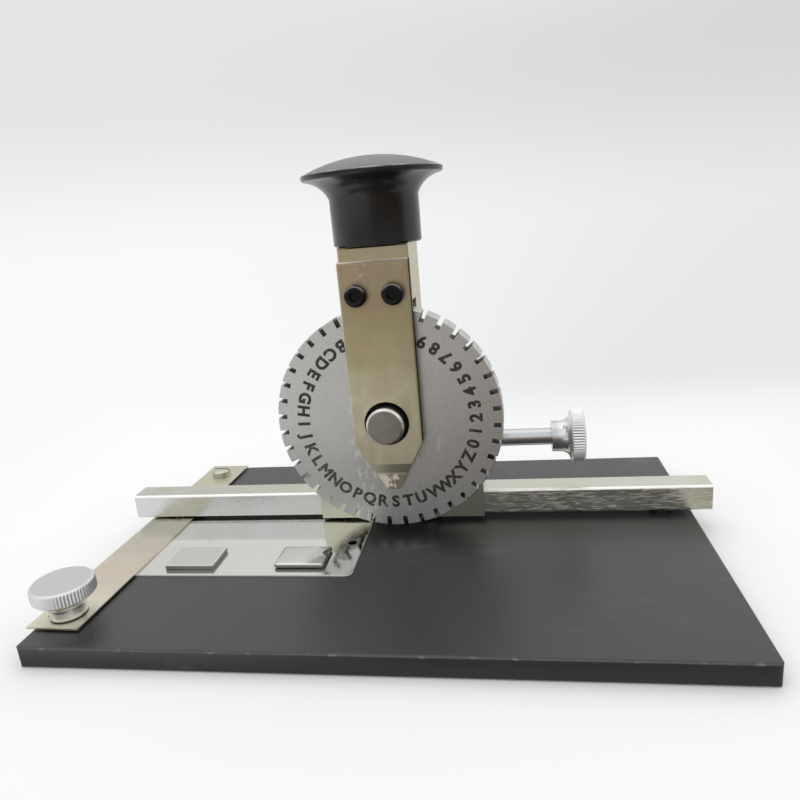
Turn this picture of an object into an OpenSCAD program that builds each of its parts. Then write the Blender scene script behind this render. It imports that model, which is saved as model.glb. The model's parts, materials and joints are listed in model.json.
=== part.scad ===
// Manual tag marking machine: a 40-tooth character dial, held in the fork of a spring-lifted press arm,
// slides along a flat bar rail over a steel base plate. Pressing the knob stamps the lowest tooth into a tag.
// Origin: centre of the base plate's underside. +X is right, +Y is to the back and +Z is up.

/* [Base] */
// Width of the base plate, left to right
base_w = 240; // [220:1:300]
// Depth of the base plate, front to back
base_d = 160; // [150:1:220]
// Thickness of the base plate
base_t = 8; // [6:0.5:14]
// Radius of the base plate's upright corners
base_corner_r = 2; // [1:0.5:6]
// Chamfer along the base plate's long edges
base_edge = 0.6; // [0.2:0.1:1.5]

/* [Rail] */
// Length of the rail that stands out past each side of the base
rail_overhang = 7; // [2:0.5:15]
// Depth of the rail bar, front to back
rail_d = 12; // [10:0.5:18]
// Height of the rail bar
rail_h = 10.9; // [8:0.1:16]
// Radius of the rail bar's long edges
rail_edge_r = 1.2; // [0.5:0.1:2]
// Distance of the rail's centre line behind the middle of the base
rail_y = 20; // [15:0.5:30]
// Height of the spacers that lift the rail off the base
rail_gap = 1.6; // [1.6:0.1:4]
// Distance of each rail screw from the base's nearer side edge
rail_screw_inset = 12; // [9:0.5:14]
// Thread diameter of the rail screws
rail_screw_d = 5; // [4:0.5:6]
// Outer diameter of the rail spacers
spacer_d = 9; // [8:0.5:9.5]

/* [Carriage] */
// Place of the carriage along the rail, at rest
head_x = -0.8; // [-40:0.1:40]
// Width of the carriage saddle along the rail
saddle_w = 71.5; // [50:0.5:80]
// Thickness of the saddle's front and rear walls
saddle_wall = 3; // [2.5:0.5:5]
// Thickness of the saddle above the rail
saddle_top_t = 4.5; // [3:0.5:10]
// Sliding clearance between the saddle and the rail
slide_gap = 0.1; // [0.05:0.01:0.2]
// Width of the keeper plate under the rail
keeper_w = 30; // [24:1:36]
// Thickness of the keeper plate
keeper_t = 0.6; // [0.4:0.1:0.7]
// Shank diameter of the keeper rivets
rivet_d = 2; // [1.6:0.1:2]
// Chamfer along the saddle's edges
saddle_edge = 0.4; // [0.2:0.1:0.8]

/* [Dial] */
// Diameter of the character dial over its teeth
dial_d = 91.4; // [80:0.2:100]
// Thickness of the character dial
dial_t = 9.2; // [6:0.2:12]
// Number of teeth, one for each character
dial_teeth = 40; // [30:1:44]
// Width of the slots between the teeth
slot_w = 1.9; // [1.2:0.1:2.4]
// Depth of the slots between the teeth
slot_l = 3.8; // [2.5:0.1:5]
// Chamfer round the dial's rim
dial_edge = 0.35; // [0.1:0.05:0.8]
// Height of the lowest tooth above the tag, at rest
dial_lift = 3.1; // [2:0.1:5]
// Height that is left under the lowest tooth when the arm is right down
press_gap = 0.1; // [0.05:0.05:0.5]
// Distance from the dial to the saddle behind it
dial_clear = 1.7; // [1.5:0.1:4]
// Diameter of the dial pin where the dial turns
pin_d = 15; // [12:0.5:18]
// Diameter of the dial pin where it sits in the arm
pin_shank_d = 10; // [8:0.5:10]
// Length of the pin that stands out of the pointer plate
pin_proud = 5; // [2:0.5:8]
// Chamfer on the front end of the pin
pin_edge = 1; // [0.4:0.1:2]
// Radial clearance of turning and sliding fits
run_gap = 0.05; // [0.02:0.01:0.08]
// Thickness of the friction washer behind the dial
washer_t = 1.2; // [0.8:0.1:2]
// Outer diameter of the friction washer
washer_d = 26; // [22:0.5:34]

/* [Press arm] */
// Width of the press arm
arm_w = 27; // [26:0.5:34]
// Depth of the press arm, front to back
arm_d = 28; // [27:0.5:36]
// Height of the arm's full section above the dial
arm_head_h = 21.2; // [18:0.2:40]
// Clearance between the dial's top and the fork
fork_gap = 1.7; // [1:0.1:4]
// Clearance that is left between the arm and the saddle when the arm is right down
arm_rest = 0.9; // [0.5:0.1:3]
// Chamfer along the arm's edges
arm_edge = 0.6; // [0.2:0.1:1.5]
// Diameter of the guide posts
post_d = 6; // [5:0.5:6]
// Distance between the guide posts
post_spread = 18; // [17:0.5:18]
// Length of the guide posts inside the arm
post_reach = 43; // [30:1:50]
// Outer diameter of the return spring
spring_d = 8.8; // [7:0.1:9]
// Wire diameter of the return spring
wire_d = 1.2; // [0.8:0.1:1.4]
// Number of turns of the return spring
spring_turns = 7; // [5:1:9]
// Depth of the return spring's bore in the arm
spring_bore_l = 18; // [12:0.5:20]

/* [Pointer plate] */
// Width of the pointer plate
plate_w = 27.6; // [25:0.2:34]
// Thickness of the pointer plate
plate_t = 3; // [2:0.2:5]
// Gap between the pointer plate and the dial's face
plate_gap = 1; // [0.6:0.1:2]
// Distance of the plate's top edge below the top of the arm
plate_drop = 5.2; // [2:0.2:6]
// Distance of the plate's screws below its top edge
plate_screw_drop = 12.5; // [9:0.5:13]
// Distance between the plate's two screws
plate_screw_spread = 14.2; // [11:0.1:16]
// Diameter of the hole round the dial pin
plate_hole_d = 17.8; // [16:0.1:20]
// Distance below the pin at which the plate starts to taper
taper_drop = 7.6; // [4:0.2:14]
// Distance of the pointer's tip below the pin
pointer_reach = 28.7; // [26:0.1:32]
// Width of the pointer's tip
tip_w = 5; // [1:0.5:10]
// Thickness of the pointer's tip
tip_t = 1; // [0.5:0.1:2]
// Height of the bevel that thins the pointer
bevel_h = 4.4; // [2:0.2:6]
// Height of the thin part of the pointer
tip_h = 7.2; // [5:0.2:9]
// Chamfer round the front of the plate
plate_edge = 0.8; // [0.2:0.1:1.2]
// Thread diameter of the plate's screws
plate_screw_d = 5; // [4:0.5:5]
// Head diameter of the plate's screws
plate_head_d = 8.5; // [7:0.5:9]
// Head height of the plate's screws
plate_head_h = 3; // [2:0.5:5]

/* [Knob] */
// Diameter of the knob's cap
knob_d = 54.2; // [46:0.2:70]
// Diameter of the knob's neck
knob_neck_d = 34.4; // [28:0.2:38]
// Height of the straight part of the neck
knob_neck_h = 18.5; // [12:0.5:30]
// Height at which the cap's lip stands above the knob's foot
knob_lip_h = 25.8; // [23:0.2:40]
// Thickness of the cap's lip
knob_lip_t = 2.2; // [1.5:0.1:4]
// Rise of the dome above the lip
knob_dome_h = 5.8; // [3:0.2:10]
// Diameter of the stud that holds the knob
stud_d = 10; // [8:1:12]
// Length of the stud inside the arm and inside the knob
stud_l = 14; // [10:1:16]

/* [Thumb screws] */
// Diameter of the serrated discs
thumb_d = 21.8; // [17:0.2:28]
// Thickness of the serrated discs
thumb_t = 5.6; // [4:0.2:10]
// Diameter of the collars under the discs
thumb_collar_d = 12.8; // [11:0.2:14]
// Height of the collars under the discs
thumb_collar_h = 3.3; // [2:0.1:8]
// Height of the flares between the collars and the discs
thumb_flare_h = 4.2; // [1:0.1:6]
// Number of serrations on each disc
thumb_teeth = 60; // [36:1:80]
// Depth of the serrations
thumb_cut = 0.35; // [0.2:0.05:0.6]
// Chamfer on the rims of the discs
thumb_edge = 0.8; // [0.3:0.1:1.5]
// Shank diameter of the lock screw
lock_d = 7; // [6:0.5:9]
// Length of the lock screw's shank outside the arm
lock_l = 51.2; // [45:0.1:70]
// Distance of the lock screw below the dial pin
lock_drop = 15.2; // [13:0.1:17]
// Diameter of the lock screw's dog point
dog_d = 3; // [2:0.2:4]
// Length of the threaded boss on the side of the arm
boss_l = 8; // [5:0.5:14]
// Diameter of the threaded boss
boss_d = 14; // [12:0.5:15]
// Shank diameter of the clamp screw
clamp_d = 6; // [5:0.5:6]
// Distance of the clamp screw from the base's left edge
clamp_inset_x = 8.8; // [8:0.1:10]
// Distance of the clamp screw from the base's front edge
clamp_inset_y = 18; // [14:0.5:22]

/* [Hold-down strip] */
// Width of the strip
strip_w = 20; // [19:0.5:24]
// Distance of the strip's front end from the base's front edge
strip_front_inset = 9; // [0:0.1:12]
// Thickness of the strip
strip_t = 0.6; // [0.4:0.1:0.8]
// Clearance between the strip and the tag below it
strip_gap = 0.05; // [0.02:0.01:0.1]
// Angle of the strip to the base's edge, at rest
strip_skew = 1.7; // [1:0.1:2]
// Distance of the pivot screw from the base's left edge
pivot_inset_x = 12.1; // [11:0.1:13]
// Distance of the pivot screw from the base's rear edge
pivot_inset_y = 13.2; // [11:0.2:16]
// Distance of the pivot screw from the strip's rear end
pivot_end = 12.7; // [8:0.1:14]
// Thread diameter of the pivot screw
pivot_d = 5; // [4:0.5:5]
// Head diameter of the pivot screw
pivot_head_d = 9.5; // [8:0.5:11]
// Head height of the pivot screw
pivot_head_h = 3.4; // [2.4:0.2:5]
// Diameter of the shims under the strip
shim_d = 12; // [10:0.5:13]
// Sideways play of the clamp screw in the strip's slot
slot_play = 4; // [3.6:0.1:4.5]
// Diameter of the hole that clears the rail spacer
strip_hole_d = 13; // [12.6:0.1:14]

/* [Tag and magnets] */
// Length of the tag blank, left to right
tag_w = 100; // [90:1:104]
// Depth of the tag blank, front to back
tag_d = 50; // [40:1:56]
// Thickness of the tag blank
tag_t = 0.6; // [0.3:0.1:0.7]
// Corner radius of the tag blank
tag_corner_r = 3; // [1:0.5:6]
// Distance of the tag's left edge from the base's left edge
tag_inset = 6.3; // [2:0.1:10]
// Gap between the tag's rear edge and the rail spacers
tag_stop_gap = 0.2; // [0.1:0.1:2]
// Diameter of the tag's holes
tag_hole_d = 3.5; // [2:0.1:5]
// Distance of the tag's holes from its ends
tag_hole_inset = 4.9; // [4:0.1:8]
// Length of the magnets, left to right
magnet_w = 20; // [10:0.5:24]
// Depth of the magnets, front to back
magnet_d = 15; // [8:0.5:20]
// Thickness of the magnets
magnet_t = 2; // [1.5:0.1:4]
// Chamfer along the magnets' edges
magnet_edge = 0.3; // [0.1:0.05:0.6]
// Distance of each magnet's middle from the tag's right edge
magnet_x = [66.5, 21.7]; // [10:0.1:90]
// Distance of each magnet's middle from the tag's front edge
magnet_y = [11.2, 11.7]; // [10:0.1:40]

/* [Hidden] */
$fn = 96;

// A small overlap that lets cuts pass cleanly through a face
cut = 1;
// Clearance of parts that are screwed or pressed together
seat_gap = 0.02;
// Room round a screw that passes through a part
pass_gap = 0.25;
// Height of the screws' tips above the base's underside
tip_clear = 1;

// The rail, with the metal that is left above its threads
rail_front = rail_y - rail_d / 2;
rail_back = rail_y + rail_d / 2;
rail_z0 = base_t + rail_gap;
rail_z1 = rail_z0 + rail_h;
rail_l = base_w + 2 * rail_overhang;
rail_screw_x = base_w / 2 - rail_screw_inset;
rail_roof = 3;
rail_thread_l = rail_h - rail_roof;
rail_head_d = rail_screw_d * 1.9;
rail_head_h = (rail_head_d - rail_screw_d) / 2;
rail_head_sink = 0.4;

// The saddle on the rail, and the keeper that closes it below
saddle_front = rail_front - slide_gap - saddle_wall;
saddle_back = rail_back + slide_gap + saddle_wall;
saddle_z0 = rail_z0 - slide_gap;
saddle_z1 = rail_z1 + slide_gap + saddle_top_t;
keeper_z0 = saddle_z0 - keeper_t;
rivet_head_d = rivet_d * 1.5;
rivet_l = 6;
rivet_inset = 4;
rivet_x = keeper_w / 2 - rivet_inset;

// The dial, in front of the saddle and above the tag
dial_back = saddle_front - dial_clear;
dial_front = dial_back - dial_t;
tag_z1 = base_t + tag_t;
dial_z = tag_z1 + dial_lift + dial_d / 2;
arm_stroke = dial_lift - press_gap;
tooth_step = 360 / dial_teeth;

// The arm: a full section above the dial and a tongue behind it
turn_gap = 0.1;
tongue_front = dial_back + turn_gap + washer_t;
arm_front = dial_front - plate_gap;
arm_back = arm_front + arm_d;
arm_z0 = saddle_z1 + arm_stroke + arm_rest;
arm_step_z = dial_z + dial_d / 2 + fork_gap;
arm_top = arm_step_z + arm_head_h;
post_y = (tongue_front + arm_back) / 2;
post_top = arm_z0 + post_reach;
post_air = 2;
post_bore_top = post_top + arm_stroke + post_air;
spring_top = arm_z0 + spring_bore_l;
spring_air = 0.4;
spring_bore_d = spring_d + 2 * spring_air;
pin_sink = 0.5;
pin_back = arm_back - pin_sink;

// The pointer plate on the arm's front
plate_front = arm_front - plate_t;
plate_top = arm_top - plate_drop;
plate_screw_z = plate_top - plate_screw_drop;
plate_screw_l = 14;
taper_z = dial_z - taper_drop;
tip_z = dial_z - pointer_reach;
plate_head_edge = 0.5;
hex_across = plate_screw_d * 0.8;
hex_depth = plate_head_h * 0.6;

// The lock screw through the boss on the arm's right side, and the slot that its dog point runs in
lock_z = dial_z - lock_drop;
boss_end = arm_w / 2 + boss_l;
post_side = post_spread / 2 + post_d / 2;
dog_slot = 1.1;
dog_gap = 0.2;
dog_stop_gap = 0.05;
dog_end = post_side - dog_slot + dog_gap;
lock_tip_gap = 0.4;
lock_tip = post_side + lock_tip_gap;

// The strip over the tag's left end
strip_z0 = tag_z1 + strip_gap;
strip_z1 = strip_z0 + strip_t;
pivot_at = [-base_w / 2 + pivot_inset_x, base_d / 2 - pivot_inset_y];
clamp_at = [-base_w / 2 + clamp_inset_x, -base_d / 2 + clamp_inset_y];
strip_reach = (pivot_at.y + base_d / 2 - strip_front_inset) / cos(strip_skew);
head_gap = 0.05;
driver_slot_w = 1.2;
driver_slot_h = 1.4;

// The knob's foot, and the ledge that is left round the thumb screws' flares
knob_foot_edge = 0.6;
thumb_ledge = 0.3;

// The tag against the rail spacers
tag_back = rail_y - spacer_d / 2 - tag_stop_gap;
tag_front = tag_back - tag_d;
tag_right = -base_w / 2 + tag_inset + tag_w;
tag_middle = [tag_right - tag_w / 2, tag_back - tag_d / 2];

// Colours of the finishes
steel_colour = "#a3a3a3";
zinc_colour = "#c0c0b6";
gold_colour = "#9a8f6a";
black_colour = "#2b2b2b";
base_colour = "#4d4d4d";
bright_colour = "#c8c8c8";

// A rectangle with its corners cut at 45 degrees, centred
module cut_rect(w, h, c) {
    polygon([[-w / 2 + c, -h / 2], [w / 2 - c, -h / 2], [w / 2, -h / 2 + c], [w / 2, h / 2 - c],
             [w / 2 - c, h / 2], [-w / 2 + c, h / 2], [-w / 2, h / 2 - c], [-w / 2, -h / 2 + c]]);
}

// A rectangle with round corners, centred
module round_rect(w, h, r) {
    square([w - 2 * r, h], center = true);
    square([w, h - 2 * r], center = true);
    for (x = [-1, 1], y = [-1, 1])
        translate([x * (w / 2 - r), y * (h / 2 - r)]) circle(r);
}

// Lays a shape drawn in front view over a depth, from y0 towards the back
module front_view(y0, depth) {
    translate([0, y0 + depth, 0]) rotate([90, 0, 0]) linear_extrude(depth) children();
}

// Lays a shape drawn in side view, depth and height, over a width centred on X
module side_view(width) {
    translate([-width / 2, 0, 0]) rotate([90, 0, 90]) linear_extrude(width) children();
}

// A slab on z = 0, centred on X and Y, with round corners and chamfered long edges
module slab(w, d, h, c, r) {
    intersection() {
        linear_extrude(h) round_rect(w, d, r);
        translate([0, 0, h / 2]) front_view(-d / 2, d) cut_rect(w, h, c);
        translate([0, 0, h / 2]) side_view(w) cut_rect(d, h, c);
    }
}

// A hole or a plain pin along Z
module bore(d, z0, z1) {
    translate([0, 0, z0]) cylinder(d = d, h = z1 - z0);
}

// A hole or a plain pin along Y
module bore_y(d, y0, y1) {
    translate([0, y0, 0]) rotate([-90, 0, 0]) cylinder(d = d, h = y1 - y0);
}

// A hole or a plain pin along X
module bore_x(d, x0, x1) {
    translate([x0, 0, 0]) rotate([0, 90, 0]) cylinder(d = d, h = x1 - x0);
}

// Head of a thumb screw with its foot on z = 0: collar, hollow flare and serrated disc
module thumb_head() {
    disc_z = thumb_collar_h + thumb_flare_h;
    r = thumb_d / 2;
    flare_r = r - thumb_edge - thumb_ledge;
    flare_w = flare_r - thumb_collar_d / 2;
    rotate_extrude()
        polygon(concat([[0, 0], [thumb_collar_d / 2, 0]],
                       [for (a = [0 : 15 : 90]) [flare_r - flare_w * cos(a), thumb_collar_h + thumb_flare_h * sin(a)]],
                       [[0, disc_z]]));
    intersection() {
        translate([0, 0, disc_z]) linear_extrude(thumb_t)
            polygon([for (i = [0 : 2 * thumb_teeth - 1])
                (r - (i % 2) * thumb_cut) * [cos(i * 180 / thumb_teeth), sin(i * 180 / thumb_teeth)]]);
        // two cones that chamfer the rims, past the tips of the serrations
        rotate_extrude()
            polygon([[0, disc_z], [r - thumb_edge, disc_z], [r + cut, disc_z + thumb_edge + cut],
                     [r + cut, disc_z + thumb_t - thumb_edge - cut], [r - thumb_edge, disc_z + thumb_t],
                     [0, disc_z + thumb_t]]);
    }
}

// Carries what belongs to the carriage to its place along the rail
module at_head() {
    translate([head_x, 0, 0]) children();
}

// Carries what lies on the strip to the strip's pivot and angle
module at_strip() {
    translate([pivot_at.x, pivot_at.y, 0]) rotate([0, 0, -strip_skew]) children();
}

// The steel base plate, with countersunk holes for the rail and threads for the strip's screws
module base_plate() {
    sink_top = rail_head_sink + rail_head_h + pass_gap;
    color(base_colour) difference() {
        slab(base_w, base_d, base_t, base_edge, base_corner_r);
        for (x = [-1, 1]) translate([x * rail_screw_x, rail_y, 0]) {
            bore(rail_screw_d + 2 * pass_gap, -cut, base_t + cut);
            bore(rail_head_d + 2 * pass_gap, -cut, rail_head_sink);
            translate([0, 0, rail_head_sink])
                cylinder(d1 = rail_head_d + 2 * pass_gap, d2 = rail_screw_d + 2 * pass_gap,
                         h = sink_top - rail_head_sink);
        }
        translate(clamp_at) bore(clamp_d + 2 * run_gap, -cut, base_t + cut);
        translate(pivot_at) bore(pivot_d + 2 * seat_gap, -cut, base_t + cut);
    }
}

// The rail, a flat bar with rounded edges, threaded from below
module guide_rail() {
    color(zinc_colour) difference() {
        translate([0, rail_y, (rail_z0 + rail_z1) / 2]) side_view(rail_l) round_rect(rail_d, rail_h, rail_edge_r);
        for (x = [-1, 1]) translate([x * rail_screw_x, rail_y, 0])
            bore(rail_screw_d + 2 * seat_gap, rail_z0 - cut, rail_z0 + rail_thread_l);
    }
}

// Two round spacers that lift the rail off the base
module rail_spacers() {
    color(black_colour) for (x = [-1, 1]) translate([x * rail_screw_x, rail_y, 0]) difference() {
        bore(spacer_d, base_t, rail_z0);
        bore(rail_screw_d + 2 * pass_gap, base_t - cut, rail_z0 + cut);
    }
}

// Two countersunk screws from below that hold the rail
module rail_screws() {
    color(black_colour) for (x = [-1, 1]) translate([x * rail_screw_x, rail_y, 0]) {
        translate([0, 0, rail_head_sink]) cylinder(d1 = rail_head_d, d2 = rail_screw_d, h = rail_head_h);
        bore(rail_screw_d, rail_head_sink, rail_z0 + rail_thread_l - pass_gap);
    }
}

// The saddle, an inverted channel that straddles the rail
module carriage_saddle() {
    middle_y = (saddle_front + saddle_back) / 2;
    color(zinc_colour) at_head() difference() {
        translate([0, middle_y, saddle_z0])
            slab(saddle_w, saddle_back - saddle_front, saddle_z1 - saddle_z0, saddle_edge, saddle_edge);
        translate([0, rail_y, (saddle_z0 - cut + rail_z1 + slide_gap) / 2])
            cube([saddle_w + 2 * cut, rail_d + 2 * slide_gap, rail_z1 + slide_gap - saddle_z0 + cut], center = true);
        for (x = [-1, 1]) translate([x * post_spread / 2, post_y, 0])
            bore(post_d + 2 * seat_gap, rail_z1, saddle_z1 + cut);
        rivet_places() bore(rivet_d + 2 * seat_gap, saddle_z0 - cut, saddle_z0 + rivet_l);
    }
}

// The four places of the keeper rivets, under the saddle's walls
module rivet_places() {
    for (x = [-1, 1], y = [saddle_front + saddle_wall / 2, saddle_back - saddle_wall / 2])
        translate([x * rivet_x, y, 0]) children();
}

// The thin plate that closes the saddle under the rail
module saddle_keeper() {
    color(zinc_colour) at_head() difference() {
        translate([-keeper_w / 2, saddle_front + saddle_edge, keeper_z0])
            cube([keeper_w, saddle_back - saddle_front - 2 * saddle_edge, keeper_t]);
        rivet_places() {
            bore(rivet_d + 2 * seat_gap, keeper_z0 - cut, saddle_z0 + cut);
            translate([0, 0, keeper_z0])
                cylinder(d1 = rivet_head_d + 2 * seat_gap, d2 = rivet_d + 2 * seat_gap, h = keeper_t);
        }
    }
}

// Four flush rivets that hold the keeper to the saddle
module keeper_rivets() {
    color(steel_colour) at_head() rivet_places() {
        translate([0, 0, keeper_z0]) cylinder(d1 = rivet_head_d, d2 = rivet_d, h = keeper_t);
        bore(rivet_d, saddle_z0 - keeper_t / 2, saddle_z0 + rivet_l - pass_gap);
    }
}

// Two guide posts pressed into the saddle, the right one with a slot for the lock screw's dog point
module guide_posts() {
    slot_z0 = lock_z - dog_d / 2 - arm_stroke - dog_gap;
    slot_z1 = lock_z + dog_d / 2 + dog_stop_gap;
    color(steel_colour) at_head() difference() {
        for (x = [-1, 1]) translate([x * post_spread / 2, post_y, 0])
            bore(post_d, rail_z1 + slide_gap, post_top);
        translate([post_side - dog_slot, post_y - dog_d / 2 - dog_gap, slot_z0])
            cube([dog_slot + cut, dog_d + 2 * dog_gap, slot_z1 - slot_z0]);
    }
}

// The path of the return spring's wire, and the tube round it
spring_rings = 8;
spring_sides = 6;
spring_r = (spring_d - wire_d) / 2;
spring_rise = (spring_top - saddle_z1 - wire_d) / spring_turns;
spring_path = [for (i = [0 : spring_turns * spring_rings])
    [spring_r * cos(i * 360 / spring_rings), spring_r * sin(i * 360 / spring_rings),
     saddle_z1 + wire_d / 2 + i * spring_rise / spring_rings]];
spring_tilt = atan(spring_rise / (2 * PI * spring_r));
function spring_point(i, k) =
    let (a = i * 360 / spring_rings, b = k * 360 / spring_sides,
         out = [cos(a), sin(a), 0],
         up = [sin(a) * sin(spring_tilt), -cos(a) * sin(spring_tilt), cos(spring_tilt)])
    spring_path[i] + wire_d / 2 * (cos(b) * out + sin(b) * up);
spring_gap = min([for (i = [0 : len(spring_path) - 1], j = [i + spring_rings / 2 : len(spring_path) - 1])
    norm(spring_path[i] - spring_path[j])]) - wire_d;
echo(str("least gap between the spring's turns: ", spring_gap, " mm"));

// The return spring, one unbroken wire from the saddle up into the arm's bore
module return_spring() {
    last = len(spring_path) - 1;
    points = [for (i = [0 : last], k = [0 : spring_sides - 1]) spring_point(i, k)];
    sides = [for (i = [0 : last - 1], k = [0 : spring_sides - 1], half = [0, 1])
        let (a = i * spring_sides + k, b = i * spring_sides + (k + 1) % spring_sides)
        half == 0 ? [a, a + spring_sides, b] : [b, a + spring_sides, b + spring_sides]];
    ends = [for (k = [1 : spring_sides - 2], end = [0, 1])
        end == 0 ? [0, k, k + 1] : last * spring_sides * [1, 1, 1] + [0, k + 1, k]];
    color(steel_colour) at_head() translate([0, post_y, 0]) polyhedron(points, concat(sides, ends));
}

// The forked press arm: full section above the dial, tongue behind it, boss for the lock screw
module press_arm() {
    e = arm_edge;
    color(gold_colour) at_head() difference() {
        union() {
            intersection() {
                side_view(arm_w)
                    polygon([[arm_front, arm_step_z + e], [arm_front, arm_top - e], [arm_front + e, arm_top],
                             [arm_back - e, arm_top], [arm_back, arm_top - e], [arm_back, arm_z0 + e],
                             [arm_back - e, arm_z0], [tongue_front + e, arm_z0], [tongue_front, arm_z0 + e],
                             [tongue_front, arm_step_z], [arm_front + e, arm_step_z]]);
                translate([0, (arm_front + arm_back) / 2, 0]) linear_extrude(arm_top + cut)
                    cut_rect(arm_w, arm_d, e);
            }
            translate([0, post_y, lock_z]) bore_x(boss_d, arm_w / 2 - e, boss_end);
        }
        for (x = [-1, 1]) translate([x * post_spread / 2, post_y, 0])
            bore(post_d + 2 * run_gap, arm_z0 - cut, post_bore_top);
        translate([0, post_y, 0]) bore(spring_bore_d, arm_z0 - cut, spring_top);
        translate([0, 0, dial_z]) bore_y(pin_shank_d + 2 * seat_gap, tongue_front - cut, arm_back + cut);
        translate([0, post_y, lock_z]) {
            bore_x(lock_d + 2 * run_gap, lock_tip - run_gap, boss_end + cut);
            bore_x(dog_d + 4 * run_gap, post_spread / 2, lock_tip);
        }
        for (x = [-1, 1]) translate([x * plate_screw_spread / 2, 0, plate_screw_z])
            bore_y(plate_screw_d + 2 * seat_gap, arm_front - cut, arm_front + plate_screw_l + cut);
        translate([0, (arm_front + arm_back) / 2, 0])
            bore(stud_d + 2 * seat_gap, arm_top - stud_l - pass_gap, arm_top + cut);
    }
}

// Outline of the pointer plate in front view
plate_outline = [[-plate_w / 2, plate_top], [plate_w / 2, plate_top], [plate_w / 2, taper_z],
                 [tip_w / 2, tip_z], [-tip_w / 2, tip_z], [-plate_w / 2, taper_z]];

// The pointer plate, screwed to the arm in front of the dial and tapered to a thin pointer
module pointer_plate() {
    thin_front = arm_front - tip_t;
    e = plate_edge;
    color(gold_colour) at_head() difference() {
        intersection() {
            front_view(plate_front - cut, plate_t + 2 * cut) polygon(plate_outline);
            // the side profile: chamfered top edge, full thickness, bevel and thin tip
            side_view(plate_w + 2 * cut)
                polygon([[arm_front, tip_z - cut], [arm_front, plate_top + cut],
                         [plate_front + e + cut, plate_top + cut], [plate_front, plate_top - e],
                         [plate_front, tip_z + tip_h + bevel_h], [thin_front, tip_z + tip_h],
                         [thin_front, tip_z - cut]]);
            // the plan, with the upright front edges chamfered
            linear_extrude(plate_top + cut)
                polygon([[plate_w / 2 + cut, arm_front + cut], [-plate_w / 2 - cut, arm_front + cut],
                         [-plate_w / 2 - cut, plate_front + e + cut], [-plate_w / 2 + e, plate_front],
                         [plate_w / 2 - e, plate_front], [plate_w / 2 + cut, plate_front + e + cut]]);
        }
        translate([0, 0, dial_z]) bore_y(plate_hole_d, plate_front - cut, arm_front + cut);
        for (x = [-1, 1]) translate([x * plate_screw_spread / 2, 0, plate_screw_z])
            bore_y(plate_screw_d + 2 * pass_gap, plate_front - cut, arm_front + cut);
    }
}

// Two low socket-head screws that hold the pointer plate
module pointer_screws() {
    e = plate_head_edge;
    color(black_colour) at_head() for (x = [-1, 1])
        translate([x * plate_screw_spread / 2, plate_front, plate_screw_z]) rotate([-90, 0, 0]) difference() {
            rotate_extrude() polygon([[0, -plate_head_h], [plate_head_d / 2 - e, -plate_head_h],
                                      [plate_head_d / 2, -plate_head_h + e], [plate_head_d / 2, 0],
                                      [plate_screw_d / 2, 0], [plate_screw_d / 2, plate_t + plate_screw_l],
                                      [0, plate_t + plate_screw_l]]);
            translate([0, 0, -plate_head_h - cut]) cylinder(d = hex_across / cos(30), h = hex_depth + cut, $fn = 6);
        }
}

// The stepped pin that the dial turns on, pressed into the arm's tongue
module dial_pin() {
    pin_front = plate_front - pin_proud;
    color(steel_colour) at_head() translate([0, 0, dial_z]) rotate([-90, 0, 0]) rotate_extrude()
        polygon([[0, pin_front], [pin_d / 2 - pin_edge, pin_front], [pin_d / 2, pin_front + pin_edge],
                 [pin_d / 2, tongue_front], [pin_shank_d / 2, tongue_front],
                 [pin_shank_d / 2, pin_back], [0, pin_back]]);
}

// The washer that keeps the dial where it is turned to
module dial_washer() {
    color(gold_colour) at_head() translate([0, 0, dial_z]) difference() {
        bore_y(washer_d, tongue_front - washer_t, tongue_front);
        bore_y(pin_d + 2 * pass_gap, tongue_front - washer_t - cut, tongue_front + cut);
    }
}

// The character dial: a disc slotted into teeth, with one tooth straight down
module character_dial() {
    r = dial_d / 2;
    color(steel_colour) at_head() translate([0, dial_front, dial_z]) rotate([-90, 0, 0]) intersection() {
        linear_extrude(dial_t) difference() {
            circle(r);
            circle(d = pin_d + 2 * run_gap);
            for (i = [0 : dial_teeth - 1]) rotate((i + 0.5) * tooth_step)
                translate([-slot_w / 2, r - slot_l]) square([slot_w, slot_l + cut]);
        }
        rotate_extrude()
            polygon([[0, 0], [r - dial_edge, 0], [r, dial_edge], [r, dial_t - dial_edge],
                     [r - dial_edge, dial_t], [0, dial_t]]);
    }
}

// The threaded stud between the arm and the knob
module knob_stud() {
    color(steel_colour) at_head() translate([0, (arm_front + arm_back) / 2, 0])
        bore(stud_d, arm_top - stud_l, arm_top + stud_l);
}

// Outline of the knob, half of its section: neck, flare, round lip and dome
function knob_profile() =
    let (neck = knob_neck_d / 2, rim = knob_d / 2, lip = knob_lip_t / 2,
         flare = rim - lip - neck, rise = knob_lip_h - lip - knob_neck_h,
         dome_r = (pow(rim - lip, 2) + pow(knob_dome_h, 2)) / (2 * knob_dome_h),
         dome_z = knob_lip_h + lip + knob_dome_h - dome_r, dome_a = asin((rim - lip) / dome_r))
    concat([[0, 0], [neck - knob_foot_edge, 0], [neck, knob_foot_edge]],
           [for (a = [0 : 10 : 90]) [neck + flare * (1 - cos(a)), knob_neck_h + rise * sin(a)]],
           [for (a = [-75 : 15 : 75]) [rim - lip + lip * cos(a), knob_lip_h + lip * sin(a)]],
           [for (k = [0 : 8]) dome_r * [sin(dome_a * (1 - k / 8)), cos(dome_a * (1 - k / 8))] + [0, dome_z]]);

// The mushroom knob that is pressed or struck
module press_knob() {
    color(black_colour) at_head() translate([0, (arm_front + arm_back) / 2, arm_top]) difference() {
        rotate_extrude() polygon(knob_profile());
        bore(stud_d + 2 * seat_gap, -cut, stud_l + pass_gap);
    }
}

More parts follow.
